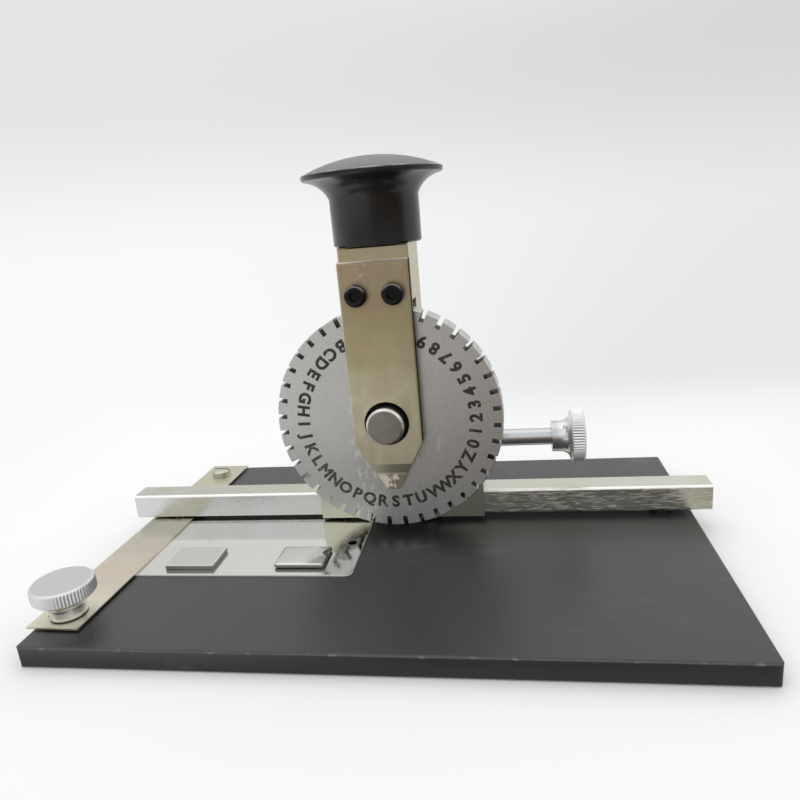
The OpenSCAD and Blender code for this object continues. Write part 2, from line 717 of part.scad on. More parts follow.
// The lock screw: dog point in the post's slot, long shank, head clear of the dial
module lock_screw() {
    shank_end = arm_w / 2 + lock_l;
    color(bright_colour) at_head() translate([0, post_y, lock_z]) {
        bore_x(dog_d, dog_end, lock_tip + cut);
        bore_x(lock_d, lock_tip, shank_end);
        translate([shank_end, 0, 0]) rotate([0, 90, 0]) thumb_head();
    }
}

// The thin strip that holds the tag's left end down, with a cross slot at the clamp screw
module hold_strip() {
    clamp_run = (pivot_at.y - clamp_at.y) / cos(strip_skew);
    color(gold_colour) at_strip() translate([0, 0, strip_z0]) difference() {
        translate([-strip_w / 2, -strip_reach, 0]) cube([strip_w, strip_reach + pivot_end, strip_t]);
        bore(pivot_d + 2 * run_gap, -cut, strip_t + cut);
        rotate([0, 0, strip_skew]) translate([-rail_screw_x - pivot_at.x, rail_y - pivot_at.y, 0])
            bore(strip_hole_d, -cut, strip_t + cut);
        translate([0, -clamp_run, -cut]) linear_extrude(strip_t + 2 * cut)
            round_rect(clamp_d + 2 * slot_play, clamp_d + 1, clamp_d / 2);
    }
}

// Two thin shims that keep the strip level over the tag
module strip_shims() {
    color(zinc_colour) for (at = [[clamp_at, clamp_d], [pivot_at, pivot_d]]) translate(at[0]) difference() {
        bore(shim_d, base_t, strip_z0);
        bore(at[1] + 2 * pass_gap, base_t - cut, strip_z0 + cut);
    }
}

// The slotted pan-head screw that the strip pivots on
module strip_pivot_screw() {
    head_z = strip_z1 + head_gap;
    r = pivot_head_d / 2;
    e = pivot_head_h / 3;
    color(zinc_colour) translate(pivot_at) difference() {
        rotate_extrude()
            polygon([[0, tip_clear], [pivot_d / 2, tip_clear], [pivot_d / 2, head_z], [r, head_z],
                     [r, head_z + pivot_head_h - e], [r - e, head_z + pivot_head_h], [0, head_z + pivot_head_h]]);
        translate([-r - cut, -driver_slot_w / 2, head_z + pivot_head_h - driver_slot_h])
            cube([2 * (r + cut), driver_slot_w, driver_slot_h + cut]);
    }
}

// The clamp screw at the strip's front end
module clamp_screw() {
    head_z = strip_z1 + head_gap;
    color(bright_colour) translate(clamp_at) {
        bore(clamp_d, tip_clear, head_z + cut);
        translate([0, 0, head_z]) thumb_head();
    }
}

// The blank tag that is being marked, with a hole near each end
module tag_plate() {
    color(bright_colour) translate([tag_middle.x, tag_middle.y, base_t]) linear_extrude(tag_t) difference() {
        round_rect(tag_w, tag_d, tag_corner_r);
        for (x = [-1, 1]) translate([x * (tag_w / 2 - tag_hole_inset), 0]) circle(d = tag_hole_d);
    }
}

// A flat block magnet on the tag
module hold_magnet(i) {
    color(bright_colour) translate([tag_right - magnet_x[i], tag_front + magnet_y[i], tag_z1])
        slab(magnet_w, magnet_d, magnet_t, magnet_edge, magnet_edge);
}

module hold_magnet_left() {
    hold_magnet(0);
}

module hold_magnet_right() {
    hold_magnet(1);
}

base_plate();
guide_rail();
rail_spacers();
rail_screws();
carriage_saddle();
saddle_keeper();
keeper_rivets();
guide_posts();
return_spring();
press_arm();
pointer_plate();
pointer_screws();
dial_pin();
dial_washer();
character_dial();
knob_stud();
press_knob();
lock_screw();
hold_strip();
strip_shims();
strip_pivot_screw();
clamp_screw();
tag_plate();
hold_magnet_left();
hold_magnet_right();
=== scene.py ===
# A hand-pressed tag marking machine: a toothed character dial in a sprung arm that slides along a rail.
# All is in metres, in the machine's own frame: +X along the rail, +Y to the back, +Z up from the bench.
import json
import math

import bpy
from mathutils import Matrix, Vector


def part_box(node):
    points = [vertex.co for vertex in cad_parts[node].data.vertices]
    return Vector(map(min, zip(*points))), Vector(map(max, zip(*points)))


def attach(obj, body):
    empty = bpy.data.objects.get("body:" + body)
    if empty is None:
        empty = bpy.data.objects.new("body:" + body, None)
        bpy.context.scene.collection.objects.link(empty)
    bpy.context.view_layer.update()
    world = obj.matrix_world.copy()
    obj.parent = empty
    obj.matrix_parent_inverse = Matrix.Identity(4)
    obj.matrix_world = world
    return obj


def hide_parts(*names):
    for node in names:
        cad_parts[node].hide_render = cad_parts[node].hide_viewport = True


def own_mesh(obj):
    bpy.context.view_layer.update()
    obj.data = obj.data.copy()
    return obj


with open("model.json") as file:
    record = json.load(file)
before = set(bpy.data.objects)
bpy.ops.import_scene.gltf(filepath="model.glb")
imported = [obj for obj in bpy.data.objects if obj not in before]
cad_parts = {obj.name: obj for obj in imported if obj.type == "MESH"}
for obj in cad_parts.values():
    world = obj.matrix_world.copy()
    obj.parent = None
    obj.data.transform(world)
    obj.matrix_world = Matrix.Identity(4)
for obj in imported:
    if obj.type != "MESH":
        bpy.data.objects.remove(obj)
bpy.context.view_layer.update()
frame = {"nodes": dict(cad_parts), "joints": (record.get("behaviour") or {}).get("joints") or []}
bpy.ops.object.select_all(action="DESELECT")


# The base plate is 8 mm steel plate with chamfered edges, sprayed with satin charcoal paint.
# The paint has a fine orange peel, faint rub marks and specks, and its top edges are worn a little paler in
# broken dashes that also paint a highlight along them.
# A black spot under the tag's right hole is a painted shadow, seen through the hole.
class Tone:
    """A value or a colour on a surface. Sums on it add Math nodes to the finish that is being mixed."""

    tree = None

    def __init__(self, socket):
        self.socket = socket

    @classmethod
    def node(cls, kind, settings=None, sockets=None, out=0):
        """Adds a node of any type, with its settings first and then the values or links of its sockets."""
        made = cls.tree.nodes.new(kind)
        for name, value in (settings or {}).items():
            setattr(made, name, value)
        for key, value in (sockets or {}).items():
            if isinstance(value, Tone):
                cls.tree.links.new(value.socket, made.inputs[key])
            else:
                made.inputs[key].default_value = value
        return cls(made.outputs[out])

    def worked(self, operation, other):
        return Tone.node("ShaderNodeMath", {"operation": operation}, {0: self, 1: other})

    def worked_back(self, operation, other):
        return Tone.node("ShaderNodeMath", {"operation": operation}, {0: other, 1: self})

    def __add__(self, other):
        return self.worked("ADD", other)

    def __radd__(self, other):
        return self.worked_back("ADD", other)

    def __sub__(self, other):
        return self.worked("SUBTRACT", other)

    def __rsub__(self, other):
        return self.worked_back("SUBTRACT", other)

    def __mul__(self, other):
        return self.worked("MULTIPLY", other)

    def __rmul__(self, other):
        return self.worked_back("MULTIPLY", other)

    def __truediv__(self, other):
        return self.worked("DIVIDE", other)

    def __rtruediv__(self, other):
        return self.worked_back("DIVIDE", other)


def new_finish(name):
    """Starts a finish: the tones made after this belong to it."""
    finish = bpy.data.materials.new(name)
    finish.use_nodes = True
    Tone.tree = finish.node_tree
    return finish


def on_surface(stretch=(1, 1, 1), turn=(0, 0, 0), move=(0, 0, 0)):
    """Places on the object, in metres, stretched and turned for a pattern with a grain."""
    place = Tone.node("ShaderNodeTexCoord", out="Object")
    return Tone.node("ShaderNodeMapping", sockets={
        "Vector": place, "Location": move, "Rotation": turn, "Scale": stretch})


def clouds(place, size, detail=2.0):
    """Soft noise, from 0 to 1, with blotches of about the given size."""
    return Tone.node("ShaderNodeTexNoise", sockets={"Vector": place, "Scale": 1 / size, "Detail": detail})


def step(value, low, high):
    """0 below low, 1 above high and a smooth rise between them."""
    return Tone.node("ShaderNodeMapRange", {"interpolation_type": "SMOOTHSTEP"},
                     {"Value": value, "From Min": low, "From Max": high})


def drop(value, low, high):
    """1 below low, 0 above high and a smooth fall between them."""
    return 1 - step(value, low, high)


def blend(share, first, second):
    """One colour changing into another as share goes from 0 to 1."""
    return Tone.node("ShaderNodeMix", {"data_type": "RGBA"}, {0: share, 6: first, 7: second}, out=2)


def axis_of(place, axis):
    """One coordinate of a place: 0, 1 or 2 for X, Y or Z."""
    return Tone.node("ShaderNodeSeparateXYZ", sockets={0: place}, out=axis)


def lesser(first, second):
    """The smaller of two values."""
    return Tone.node("ShaderNodeMath", {"operation": "MINIMUM"}, {0: first, 1: second})


def off_middle(place, axis):
    """Distance of a place from the machine's middle along one axis."""
    return Tone.node("ShaderNodeMath", {"operation": "ABSOLUTE"}, {0: axis_of(place, axis)})


def length_of(place):
    """Distance of a place from the origin of its coordinates."""
    return Tone.node("ShaderNodeVectorMath", {"operation": "LENGTH"}, {0: place}, out="Value")


def from_axis(middle, along):
    """Distance from an axis through middle, along X, Y or Z: 0, 1 or 2."""
    across = [0 if axis == along else 1 for axis in range(3)]
    return length_of(on_surface(across, move=[-across[axis] * middle[axis] for axis in range(3)]))


def coat(finish, colour, roughness, metallic=0.0, relief=None, depth=0.0, **uniform):
    """Puts the tones on the finish's surface. relief is a height from 0 to 1 of that depth in metres."""
    shader = finish.node_tree.nodes["Principled BSDF"]
    values = {"Base Color": colour, "Roughness": roughness, "Metallic": metallic, **uniform}
    if relief is not None:
        values["Normal"] = Tone.node("ShaderNodeBump", sockets={
            "Height": relief, "Distance": depth, "Strength": 1.0})
    for name, value in values.items():
        if isinstance(value, Tone):
            finish.node_tree.links.new(value.socket, shader.inputs[name])
        else:
            shader.inputs[name].default_value = value
    return finish


def dress(finish, *pieces):
    """Gives pieces a finish in place of what they came with."""
    for piece in pieces:
        piece.data.materials.clear()
        piece.data.materials.append(finish)


base_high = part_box("base_plate")[1]
charcoal = (0.0114, 0.0119, 0.0138, 1)
pale_charcoal = (0.0202, 0.0208, 0.0226, 1)
rubbed_charcoal = (0.10, 0.10, 0.098, 1)
worn_and_highlight_charcoal = (0.13, 0.13, 0.128, 1)
hole_shadow_black = (0.001, 0.001, 0.001, 1)
paint_gloss = 0.78
peel_depth = 0.000012
worn_band = 0.0007
worn_top = base_high.z - 0.0006
worn_foot = base_high.z - 0.0011
hole_shadow_at = Vector((-0.0186, -0.0097, 0))
hole_shadow_r = 0.0022

base_paint = new_finish("charcoal_paint")
place = on_surface()
from_side = base_high.x - off_middle(place, 0)
from_front = base_high.y - off_middle(place, 1)
# The paler top edge is part wear and part painted highlight along the chamfer.
worn_edge_and_highlight = drop(lesser(from_side, from_front), 0.0, worn_band)
worn_edge_and_highlight = worn_edge_and_highlight * step(axis_of(place, 2), worn_foot, worn_top)
worn_edge_and_highlight = worn_edge_and_highlight * (0.25 + 0.75 * step(clouds(place, 0.004, 4.0), 0.54, 0.66))
patches = step(clouds(place, 0.05), 0.5, 0.62)
rubs = step(clouds(on_surface((60, 130, 60), (0, 0, 0.6)), 1.0, 3.0), 0.57, 0.72) * patches
hairs = step(clouds(on_surface((55, 2600, 200), (0, 0, 0.35)), 1.0, 1.0), 0.73, 0.78) * patches
specks = step(clouds(place, 0.0013, 1.0), 0.77, 0.81) * step(clouds(place, 0.03), 0.45, 0.55)
# Painted shadow: a black disc on the plate under the tag's right hole.
hole_shadow = drop(from_axis(hole_shadow_at, 2), hole_shadow_r - 0.0003, hole_shadow_r)
colour = blend(clouds(place, 0.035, 3.0) * 0.8, charcoal, pale_charcoal)
colour = blend(rubs * 0.26 + hairs * 0.5 + specks * 0.8, colour, rubbed_charcoal)
colour = blend(worn_edge_and_highlight, colour, worn_and_highlight_charcoal)
colour = blend(hole_shadow, colour, hole_shadow_black)
peel = clouds(place, 0.0009, 2.0) + clouds(place, 0.00025, 1.0) * 0.5
sheen = 0.33 + 0.10 * clouds(place, 0.02, 3.0) + 0.5 * hole_shadow
coat(base_paint, colour, sheen, hole_shadow, relief=peel, depth=peel_depth, **{"Specular IOR Level": paint_gloss})
dress(base_paint, frame["nodes"]["base_plate"])


# The rail spacers are two turned steel rings that lift the rail off the plate.
# Countersunk screws come up through the plate and the spacers into the rail.
# Spacers and screws have a black oxide finish.
def black_oxide(name, tone=0.02, rough=0.24):
    """Blackened steel with an oily sheen, worn a little on its high spots."""
    finish = new_finish(name)
    place = on_surface()
    worn = step(clouds(place, 0.0016, 3.0), 0.55, 0.75)
    black = (tone, tone * 0.95, tone * 0.92, 1)
    rubbed_brown = (tone * 2.6, tone * 2.4, tone * 2.2, 1)
    colour = blend(worn * 0.5, black, rubbed_brown)
    return coat(finish, colour, rough + 0.2 * worn, relief=clouds(place, 0.0004), depth=0.000003)


dress(black_oxide("rail_oxide"), frame["nodes"]["rail_spacers"], frame["nodes"]["rail_screws"])


# The guide rail is a drawn steel bar with rounded edges, zinc plated, lifted off the plate by its spacers.
# The saddle has rubbed its front: short light flecks along the bar, most of them to the right, and a
# painted highlight lies in broken dashes along its lower front edge.
# A painted highlight runs along its upper front edge from end to end.
rail_low, rail_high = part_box("guide_rail")
rail_pale = (0.63, 0.632, 0.565, 1)
rail_tinted = (0.59, 0.59, 0.455, 1)
silver_pale = (0.70, 0.715, 0.745, 1)
silver_tinted = (0.66, 0.67, 0.62, 1)
drawn_grey = (0.475, 0.48, 0.445, 1)
fleck_and_highlight_bright = (0.80, 0.79, 0.74, 1)
rail_edge_highlight = (0.96, 0.955, 0.92, 1)

rail_zinc = new_finish("rail_zinc")
place = on_surface()
lines = clouds(on_surface((2.5, 110, 110)), 0.02, 4.0)
film = step(clouds(place, 0.02, 3.0), 0.35, 0.68)
front = drop(axis_of(place, 1), rail_low.y + 0.0002, rail_low.y + 0.0012)
to_right = step(axis_of(place, 0), 0.0, 0.05)
flecks = step(clouds(on_surface((210, 1100, 2400)), 1.0, 3.0), 0.51, 0.58)
wear_and_highlight = step(clouds(on_surface((1, 1, 2)), 0.016, 2.0), 0.30, 0.46)
# Painted highlight: broken bright dashes along the rounded lower front edge.
lower_edge_highlight = drop(axis_of(place, 2), rail_low.z + 0.0005, rail_low.z + 0.0011)
lower_edge_highlight = lower_edge_highlight * step(clouds(on_surface((60, 1, 1)), 1.0, 3.0), 0.42, 0.56)
# marks holds the rubbed flecks and the painted lower edge highlight together.
marks = front * (0.2 + 0.7 * to_right) * (flecks * wear_and_highlight + lower_edge_highlight)
# Painted highlight: a bright line along the rounded upper front edge.
upper_edge_highlight = drop(axis_of(place, 1), rail_low.y + 0.0006, rail_low.y + 0.0012)
upper_edge_highlight = upper_edge_highlight * step(axis_of(place, 2), rail_high.z - 0.0012, rail_high.z - 0.0006)
silvery = blend(film, silver_pale, silver_tinted)
colour = blend(film, rail_pale, rail_tinted)
colour = blend(front * (1 - to_right), colour, silvery)
colour = blend(lines * 0.35, colour, drawn_grey)
colour = blend(marks, colour, fleck_and_highlight_bright)
colour = blend(upper_edge_highlight, colour, rail_edge_highlight)
roughness = 0.18 + 0.12 * lines + 0.4 * marks + 0.2 * upper_edge_highlight
coat(rail_zinc, colour, roughness, 1.0, relief=lines, depth=0.0000005)
dress(rail_zinc, frame["nodes"]["guide_rail"])


# The carriage saddle is a steel channel, milled to straddle the rail, with a keeper plate riveted on below.
# Both are zinc plated like the rail, a little greener, and the saddle's edges are broken.
def zinc(name, pale, tinted, grain=(3, 90, 90), tint_size=0.03, rough=0.2):
    """Bright zinc plating with a thin coloured film: cloudy tints and fine drawn lines along the grain."""
    finish = new_finish(name)
    lines = clouds(on_surface(grain), 0.02, 4.0)
    film = clouds(on_surface(), tint_size, 3.0)
    drawn = tuple(0.72 * c for c in pale[:3]) + (1,)
    colour = blend(step(film, 0.35, 0.68), pale, tinted)
    colour = blend(lines * 0.35, colour, drawn)
    return coat(finish, colour, rough + 0.12 * lines, 1.0, relief=lines, depth=0.000001)


saddle_pale = (0.62, 0.62, 0.515, 1)
saddle_tinted = (0.60, 0.585, 0.42, 1)
saddle_zinc = zinc("saddle_zinc", saddle_pale, saddle_tinted, grain=(12, 60, 60))
dress(saddle_zinc, frame["nodes"]["carriage_saddle"], frame["nodes"]["saddle_keeper"])


# The keeper's four rivets, the arm's two guide posts and the knob's stud are bare turned steel.
# The rivets are set flush, the posts are pressed into the saddle and the stud is screwed into the arm.
def turned_steel(name, tone, rough=0.24, warmth=0.96):
    """Bare steel from the lathe: a fine grain and a few dull stains."""
    finish = new_finish(name)
    place = on_surface()
    stain = step(clouds(place, 0.004, 3.0), 0.45, 0.7)
    grain = clouds(place, 0.0005, 2.0)
    clean = (tone, tone * (1 + warmth) / 2, tone * warmth, 1)
    dull = tuple(0.75 * c for c in clean[:3]) + (1,)
    return coat(finish, blend(stain * 0.5, clean, dull), rough + 0.08 * grain + 0.1 * stain, 1.0,
                relief=grain, depth=0.000001)


post_tone = 0.55
post_steel = turned_steel("post_steel", post_tone)
dress(post_steel, *(frame["nodes"][name] for name in ("keeper_rivets", "guide_posts", "knob_stud")))


# The return spring is drawn steel wire, wound as one open coil between the saddle and a bore in the arm.
# It lifts the arm.
spring_low, spring_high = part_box("return_spring")
spring_axis = (spring_low + spring_high) / 2
wire = 0.0012
wire_sides = 12
spring_turns = 7
turn_steps = 28
coil_r = (spring_high.x - spring_low.x - wire) / 2
wire_tone = 0.42

bpy.ops.mesh.primitive_circle_add(vertices=wire_sides, radius=wire / 2, location=(coil_r, 0, 0),
                                  rotation=(math.pi / 2, 0, 0))
spring = bpy.context.object
spring.name = "return_coil"
bpy.ops.object.transform_apply(location=True, rotation=True, scale=True)
winding = spring.modifiers.new("winding", "SCREW")
winding.axis = "Z"
winding.angle = 2 * math.pi
winding.screw_offset = (spring_high.z - spring_low.z - wire) / spring_turns
winding.iterations = spring_turns
winding.steps = turn_steps
winding.render_steps = turn_steps
bpy.ops.object.modifier_apply(modifier=winding.name)
bpy.ops.object.mode_set(mode="EDIT")
bpy.ops.mesh.select_all(action="SELECT")
bpy.ops.mesh.fill_holes(sides=0)
bpy.ops.mesh.select_all(action="SELECT")
bpy.ops.mesh.normals_make_consistent(inside=False)
bpy.ops.object.mode_set(mode="OBJECT")
spring.location = (spring_axis.x, spring_axis.y, spring_low.z + wire / 2)
bpy.ops.object.transform_apply(location=True, rotation=True, scale=True)
bpy.ops.object.shade_smooth_by_angle(angle=math.radians(40))
dress(turned_steel("spring_wire", wire_tone, rough=0.3), spring)
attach(spring, "carriage")
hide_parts("return_spring")
arm_travel = next(j for j in frame["joints"] if j["name"] == "arm_press")["range_m"][0]
1 + arm_travel / (spring_high.z - spring_low.z)
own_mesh(spring)


# The press arm is a square steel bar, milled to a tongue behind the dial.
# A turned boss on its right side takes the lock screw.
# It is zinc plated and passivated to an olive gold.
def pick(piece):
    """Selects one piece alone and makes it the one that is worked on."""
    bpy.ops.object.select_all(action="DESELECT")
    piece.select_set(True)
    bpy.context.view_layer.objects.active = piece


def eased(node, name, width):
    """A copy of a CAD piece with its sharp edges rounded over."""
    piece = bpy.data.objects.new(name, frame["nodes"][node].data.copy())
    bpy.context.scene.collection.objects.link(piece)
    pick(piece)
    bpy.ops.object.mode_set(mode="EDIT")
    bpy.ops.mesh.select_all(action="SELECT")
    bpy.ops.mesh.remove_doubles(threshold=1e-6)
    bpy.ops.mesh.dissolve_limited(angle_limit=math.radians(1))
    bpy.ops.mesh.select_all(action="DESELECT")
    bpy.ops.mesh.edges_select_sharp(sharpness=math.radians(30))
    bpy.ops.mesh.bevel(offset=width, segments=2, affect="EDGES", clamp_overlap=True)
    bpy.ops.object.mode_set(mode="OBJECT")
    bpy.ops.object.shade_smooth_by_angle(angle=math.radians(35))
    flattening = piece.modifiers.new("flattening", "WEIGHTED_NORMAL")
    flattening.keep_sharp = True
    bpy.ops.object.modifier_apply(modifier=flattening.name)
    return piece


arm_edge = 0.0002
arm_pale = (0.54, 0.48, 0.33, 1)
arm_tinted = (0.53, 0.45, 0.29, 1)
arm = eased("press_arm", "press_arm_bar", arm_edge)
arm_zinc = zinc("arm_gold_zinc", arm_pale, arm_tinted, grain=(70, 70, 6), tint_size=0.02, rough=0.24)
dress(arm_zinc, arm)
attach(arm, "arm")
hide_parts("press_arm")


# The pointer plate is a milled steel plate with chamfered edges, thinned by a bevel to a pointer.
# Its gold film is coppery at the top, olive in the middle and straw at the foot, with pits near the top.
# A short scribed line on the tip marks the character that prints.
def band(value, low, high, soft):
    """1 between low and high and 0 outside, with soft edges of that width."""
    half = soft / 2
    return step(value, low - half, low + half) * drop(value, high - half, high + half)


plate_low, plate_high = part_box("pointer_plate")
plate_middle = (plate_low + plate_high) / 2
plate_edge = 0.00025
bevel_foot = plate_low.z + 0.0070
bevel_top = plate_low.z + 0.0116
copper_film = (0.40, 0.315, 0.205, 1)
olive_film = (0.46, 0.435, 0.235, 1)
straw_film = (0.70, 0.67, 0.50, 1)
pink_blotch = (0.50, 0.38, 0.27, 1)
green_blotch = (0.44, 0.43, 0.25, 1)
drawn_brown = (0.38, 0.32, 0.20, 1)
pit_bright = (0.72, 0.68, 0.58, 1)
bevel_pale = (0.82, 0.78, 0.62, 1)
bevel_line = (0.16, 0.13, 0.08, 1)
tip_worn = (0.36, 0.33, 0.235, 1)
tip_highlight_bright = (0.97, 0.92, 0.80, 1)
top_highlight_bright = (0.95, 0.92, 0.84, 1)
left_highlight_bright = (0.84, 0.81, 0.68, 1)
side_shade_dark = (0.04, 0.035, 0.03, 1)

plate = eased("pointer_plate", "pointer_plate_eased", plate_edge)
plate_zinc = new_finish("plate_gold_zinc")
place = on_surface()
across = axis_of(place, 0)
height = axis_of(place, 2)
uneven = height + 0.03 * (clouds(place, 0.014, 3.0) - 0.5)
lines = clouds(on_surface((60, 60, 5)), 0.02, 4.0)
blotches = clouds(on_surface((1, 1, 0.6)), 0.009, 2.0)
near_top = step(height, plate_high.z - 0.016, plate_high.z - 0.004)
near_top = near_top * (1 - 0.75 * step(across, plate_middle.x - 0.005, plate_middle.x + 0.002))
pits = step(clouds(on_surface((1, 1, 1.6), (0, 0.5, 0)), 0.0011, 2.0), 0.66, 0.72) * near_top
bevel = band(height, bevel_foot, bevel_top, 0.0008)
tip = drop(height, plate_low.z + 0.0055, plate_low.z + 0.008)
# Painted highlight: bright patches on the tip, more of them towards its left.
tip_highlight = step(clouds(place, 0.0028, 2.0) + 0.06 - 40 * (across - plate_middle.x), 0.46, 0.62)
# Painted highlight: a bright line along the top edge.
top_edge_highlight = step(height, plate_high.z - 0.00045, plate_high.z - 0.00025)
# Painted highlight: a pale line along the left edge.
left_edge_highlight = drop(across, plate_low.x + 0.0001, plate_low.x + 0.0004)
# Painted shade: the right side face and the strip of front face beside it are dark.
right_side_shade = step(across, plate_high.x - 0.0005, plate_high.x - 0.0002)
colour = blend(step(uneven, plate_low.z + 0.030, plate_low.z + 0.068), straw_film, olive_film)
colour = blend(step(uneven, plate_low.z + 0.05, plate_high.z - 0.012), colour, copper_film)
colour = blend(step(blotches, 0.46, 0.74) * 0.45, colour, pink_blotch)
colour = blend(drop(blotches, 0.28, 0.52) * 0.5, colour, green_blotch)
colour = blend(lines * 0.3, colour, drawn_brown)
colour = blend(pits, colour, pit_bright)
colour = blend(bevel * 0.45, colour, bevel_pale)
colour = blend(bevel * clouds(on_surface((20, 20, 1300)), 1.0, 2.0) * 0.2, colour, bevel_line)
colour = blend(tip, colour, blend(tip_highlight, tip_worn, tip_highlight_bright))
colour = blend(top_edge_highlight, colour, top_highlight_bright)
colour = blend(left_edge_highlight, colour, left_highlight_bright)
colour = blend(right_side_shade, colour, side_shade_dark)
roughness = 0.40 + 0.12 * lines + 0.2 * pits + 0.14 * tip
coat(plate_zinc, colour, roughness, 1.0, relief=lines, depth=0.000003)
dress(plate_zinc, plate)
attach(plate, "arm")
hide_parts("pointer_plate")

line_w = 0.00032
line_l = 0.0038
line_t = 0.00006
line_foot = plate_low.z + 0.0001
line_tilt = math.radians(-6)
line_tone = 0.012
plate_corners = [v.co for v in frame["nodes"]["pointer_plate"].data.vertices]
tip_front = min(corner.y for corner in plate_corners if corner.z < plate_low.z + 0.0005)
bpy.ops.object.select_all(action="DESELECT")
bpy.ops.mesh.primitive_cube_add(size=1, location=(plate_middle.x, tip_front, line_foot + line_l / 2),
                                rotation=(0, line_tilt, 0), scale=(line_w, line_t, line_l))
scribed = bpy.context.object
scribed.name = "scribed_line"
bpy.ops.object.transform_apply(location=True, rotation=True, scale=True)
bpy.ops.object.mode_set(mode="EDIT")
bpy.ops.mesh.select_all(action="SELECT")
bpy.ops.mesh.bevel(offset=line_w * 0.08, segments=1, affect="EDGES")
bpy.ops.object.mode_set(mode="OBJECT")
dress(black_oxide("scribed_dark", line_tone), scribed)
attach(scribed, "arm")


# Two low socket-head screws hold the pointer plate to the arm.
# They are turned steel with a black oxide finish; a painted highlight brightens the upper part of each
# head's rounded edge.
screws_low, screws_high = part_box("pointer_screws")
head_r = (screws_high.z - screws_low.z) / 2
head_h = plate_low.y - screws_low.y
head_round = 0.0011
head_sides = 64
shank_r = 0.0025
shank_l = screws_high.y - plate_low.y
socket_r = 0.0023
socket_depth = 0.0017
socket_sides = 6
head_at = Vector((screws_low.x + head_r, screws_low.y, (screws_low.z + screws_high.z) / 2))
twin_at = Vector((screws_high.x - head_r, head_at.y, head_at.z))
oxide_black = (0.004, 0.0036, 0.0034, 1)
oxide_highlight = (0.17, 0.16, 0.15, 1)
oxide_gloss = 0.22

bpy.ops.object.select_all(action="DESELECT")
bpy.ops.mesh.primitive_cylinder_add(vertices=head_sides, radius=head_r, depth=head_h,
                                    rotation=(math.pi / 2, 0, 0),
                                    location=head_at + Vector((0, head_h / 2, 0)))
socket_screws = bpy.context.object
socket_screws.name = "socket_screws"
bpy.ops.object.transform_apply(location=True, rotation=True, scale=True)
bpy.context.tool_settings.mesh_select_mode = (False, False, True)
for face in socket_screws.data.polygons:
    face.select = face.normal.y > 0.9
bpy.ops.object.mode_set(mode="EDIT")
bpy.ops.mesh.inset(thickness=head_r - shank_r)
bpy.ops.mesh.extrude_region_move(TRANSFORM_OT_translate={"value": (0, shank_l, 0)})
bpy.ops.mesh.select_all(action="DESELECT")
bpy.ops.object.mode_set(mode="OBJECT")
for face in socket_screws.data.polygons:
    face.select = face.normal.y < -0.9
bpy.ops.object.mode_set(mode="EDIT")
bpy.ops.mesh.bevel(offset=head_round, segments=5, affect="EDGES")
bpy.ops.object.mode_set(mode="OBJECT")
bpy.context.tool_settings.mesh_select_mode = (True, False, False)

bpy.ops.object.select_all(action="DESELECT")
bpy.ops.mesh.primitive_cylinder_add(vertices=socket_sides, radius=socket_r, depth=2 * socket_depth,
                                    rotation=(math.pi / 2, 0, 0), location=head_at)
socket_cut = bpy.context.object
bpy.ops.object.transform_apply(location=True, rotation=True, scale=True)
pick(socket_screws)
broaching = socket_screws.modifiers.new("broaching", "BOOLEAN")
broaching.operation = "DIFFERENCE"
broaching.object = socket_cut
bpy.ops.object.modifier_apply(modifier=broaching.name)
bpy.data.objects.remove(socket_cut)

bpy.ops.object.duplicate(linked=False)
twin = bpy.context.object
twin.location = twin_at - head_at
bpy.ops.object.transform_apply(location=True, rotation=True, scale=True)
socket_screws.select_set(True)
bpy.context.view_layer.objects.active = socket_screws
bpy.ops.object.join()
bpy.ops.object.shade_smooth_by_angle(angle=math.radians(35))

screw_oxide = new_finish("plate_screw_oxide")
place = on_surface()
from_head = lesser(from_axis(head_at, 1), from_axis(twin_at, 1))
# Painted highlight: a paler, metallic band on the upper part of each head's rounded edge.
wear_and_highlight = step(from_head, head_r - head_round, head_r - 0.6 * head_round)
wear_and_highlight = wear_and_highlight * drop(from_head, head_r - 0.0003, head_r - 0.0001)
wear_and_highlight = wear_and_highlight * step(axis_of(place, 2), head_at.z + 0.0008, head_at.z + 0.0028)
roughness = 0.12 + 0.12 * clouds(place, 0.0016, 3.0)
coat(screw_oxide, blend(wear_and_highlight, oxide_black, oxide_highlight), roughness, wear_and_highlight, relief=clouds(place, 0.0004),
     depth=0.000003, **{"Specular IOR Level": oxide_gloss})
dress(screw_oxide, socket_screws)
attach(socket_screws, "arm")
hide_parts("pointer_screws")


# The dial pin is turned from bare steel, with a broad chamfer that is painted bright as a painted
# highlight, and is pressed into the arm's tongue.
# The dial turns on it, against a rolled bronze friction washer.
pin_low, pin_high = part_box("dial_pin")
pin_clean = (0.245, 0.228, 0.20, 1)
pin_stained = (0.21, 0.20, 0.18, 1)
chamfer_highlight_bright = (0.66, 0.65, 0.625, 1)
bronze = (0.56, 0.37, 0.16, 1)
tarnished_bronze = (0.35, 0.23, 0.11, 1)

pin_steel = new_finish("pin_steel")
place = on_surface()
turning = Tone.node("ShaderNodeTexNoise", {"noise_dimensions": "1D"}, {
    "W": from_axis((pin_low + pin_high) / 2, 1), "Scale": 2500.0, "Detail": 2.0})
pin_face = drop(axis_of(place, 1), pin_low.y + 0.0001, pin_low.y + 0.0003)
stain = step(clouds(place, 0.005, 3.0), 0.4, 0.7)
# Painted highlight: the chamfer and the pin behind it are painted much brighter than the front face.
colour = blend(pin_face, chamfer_highlight_bright, blend(stain, pin_clean, pin_stained))
roughness = 0.22 + 0.08 * pin_face + 0.05 * stain
coat(pin_steel, colour, roughness, 1.0, relief=turning * pin_face, depth=0.000002)
dress(pin_steel, frame["nodes"]["dial_pin"])

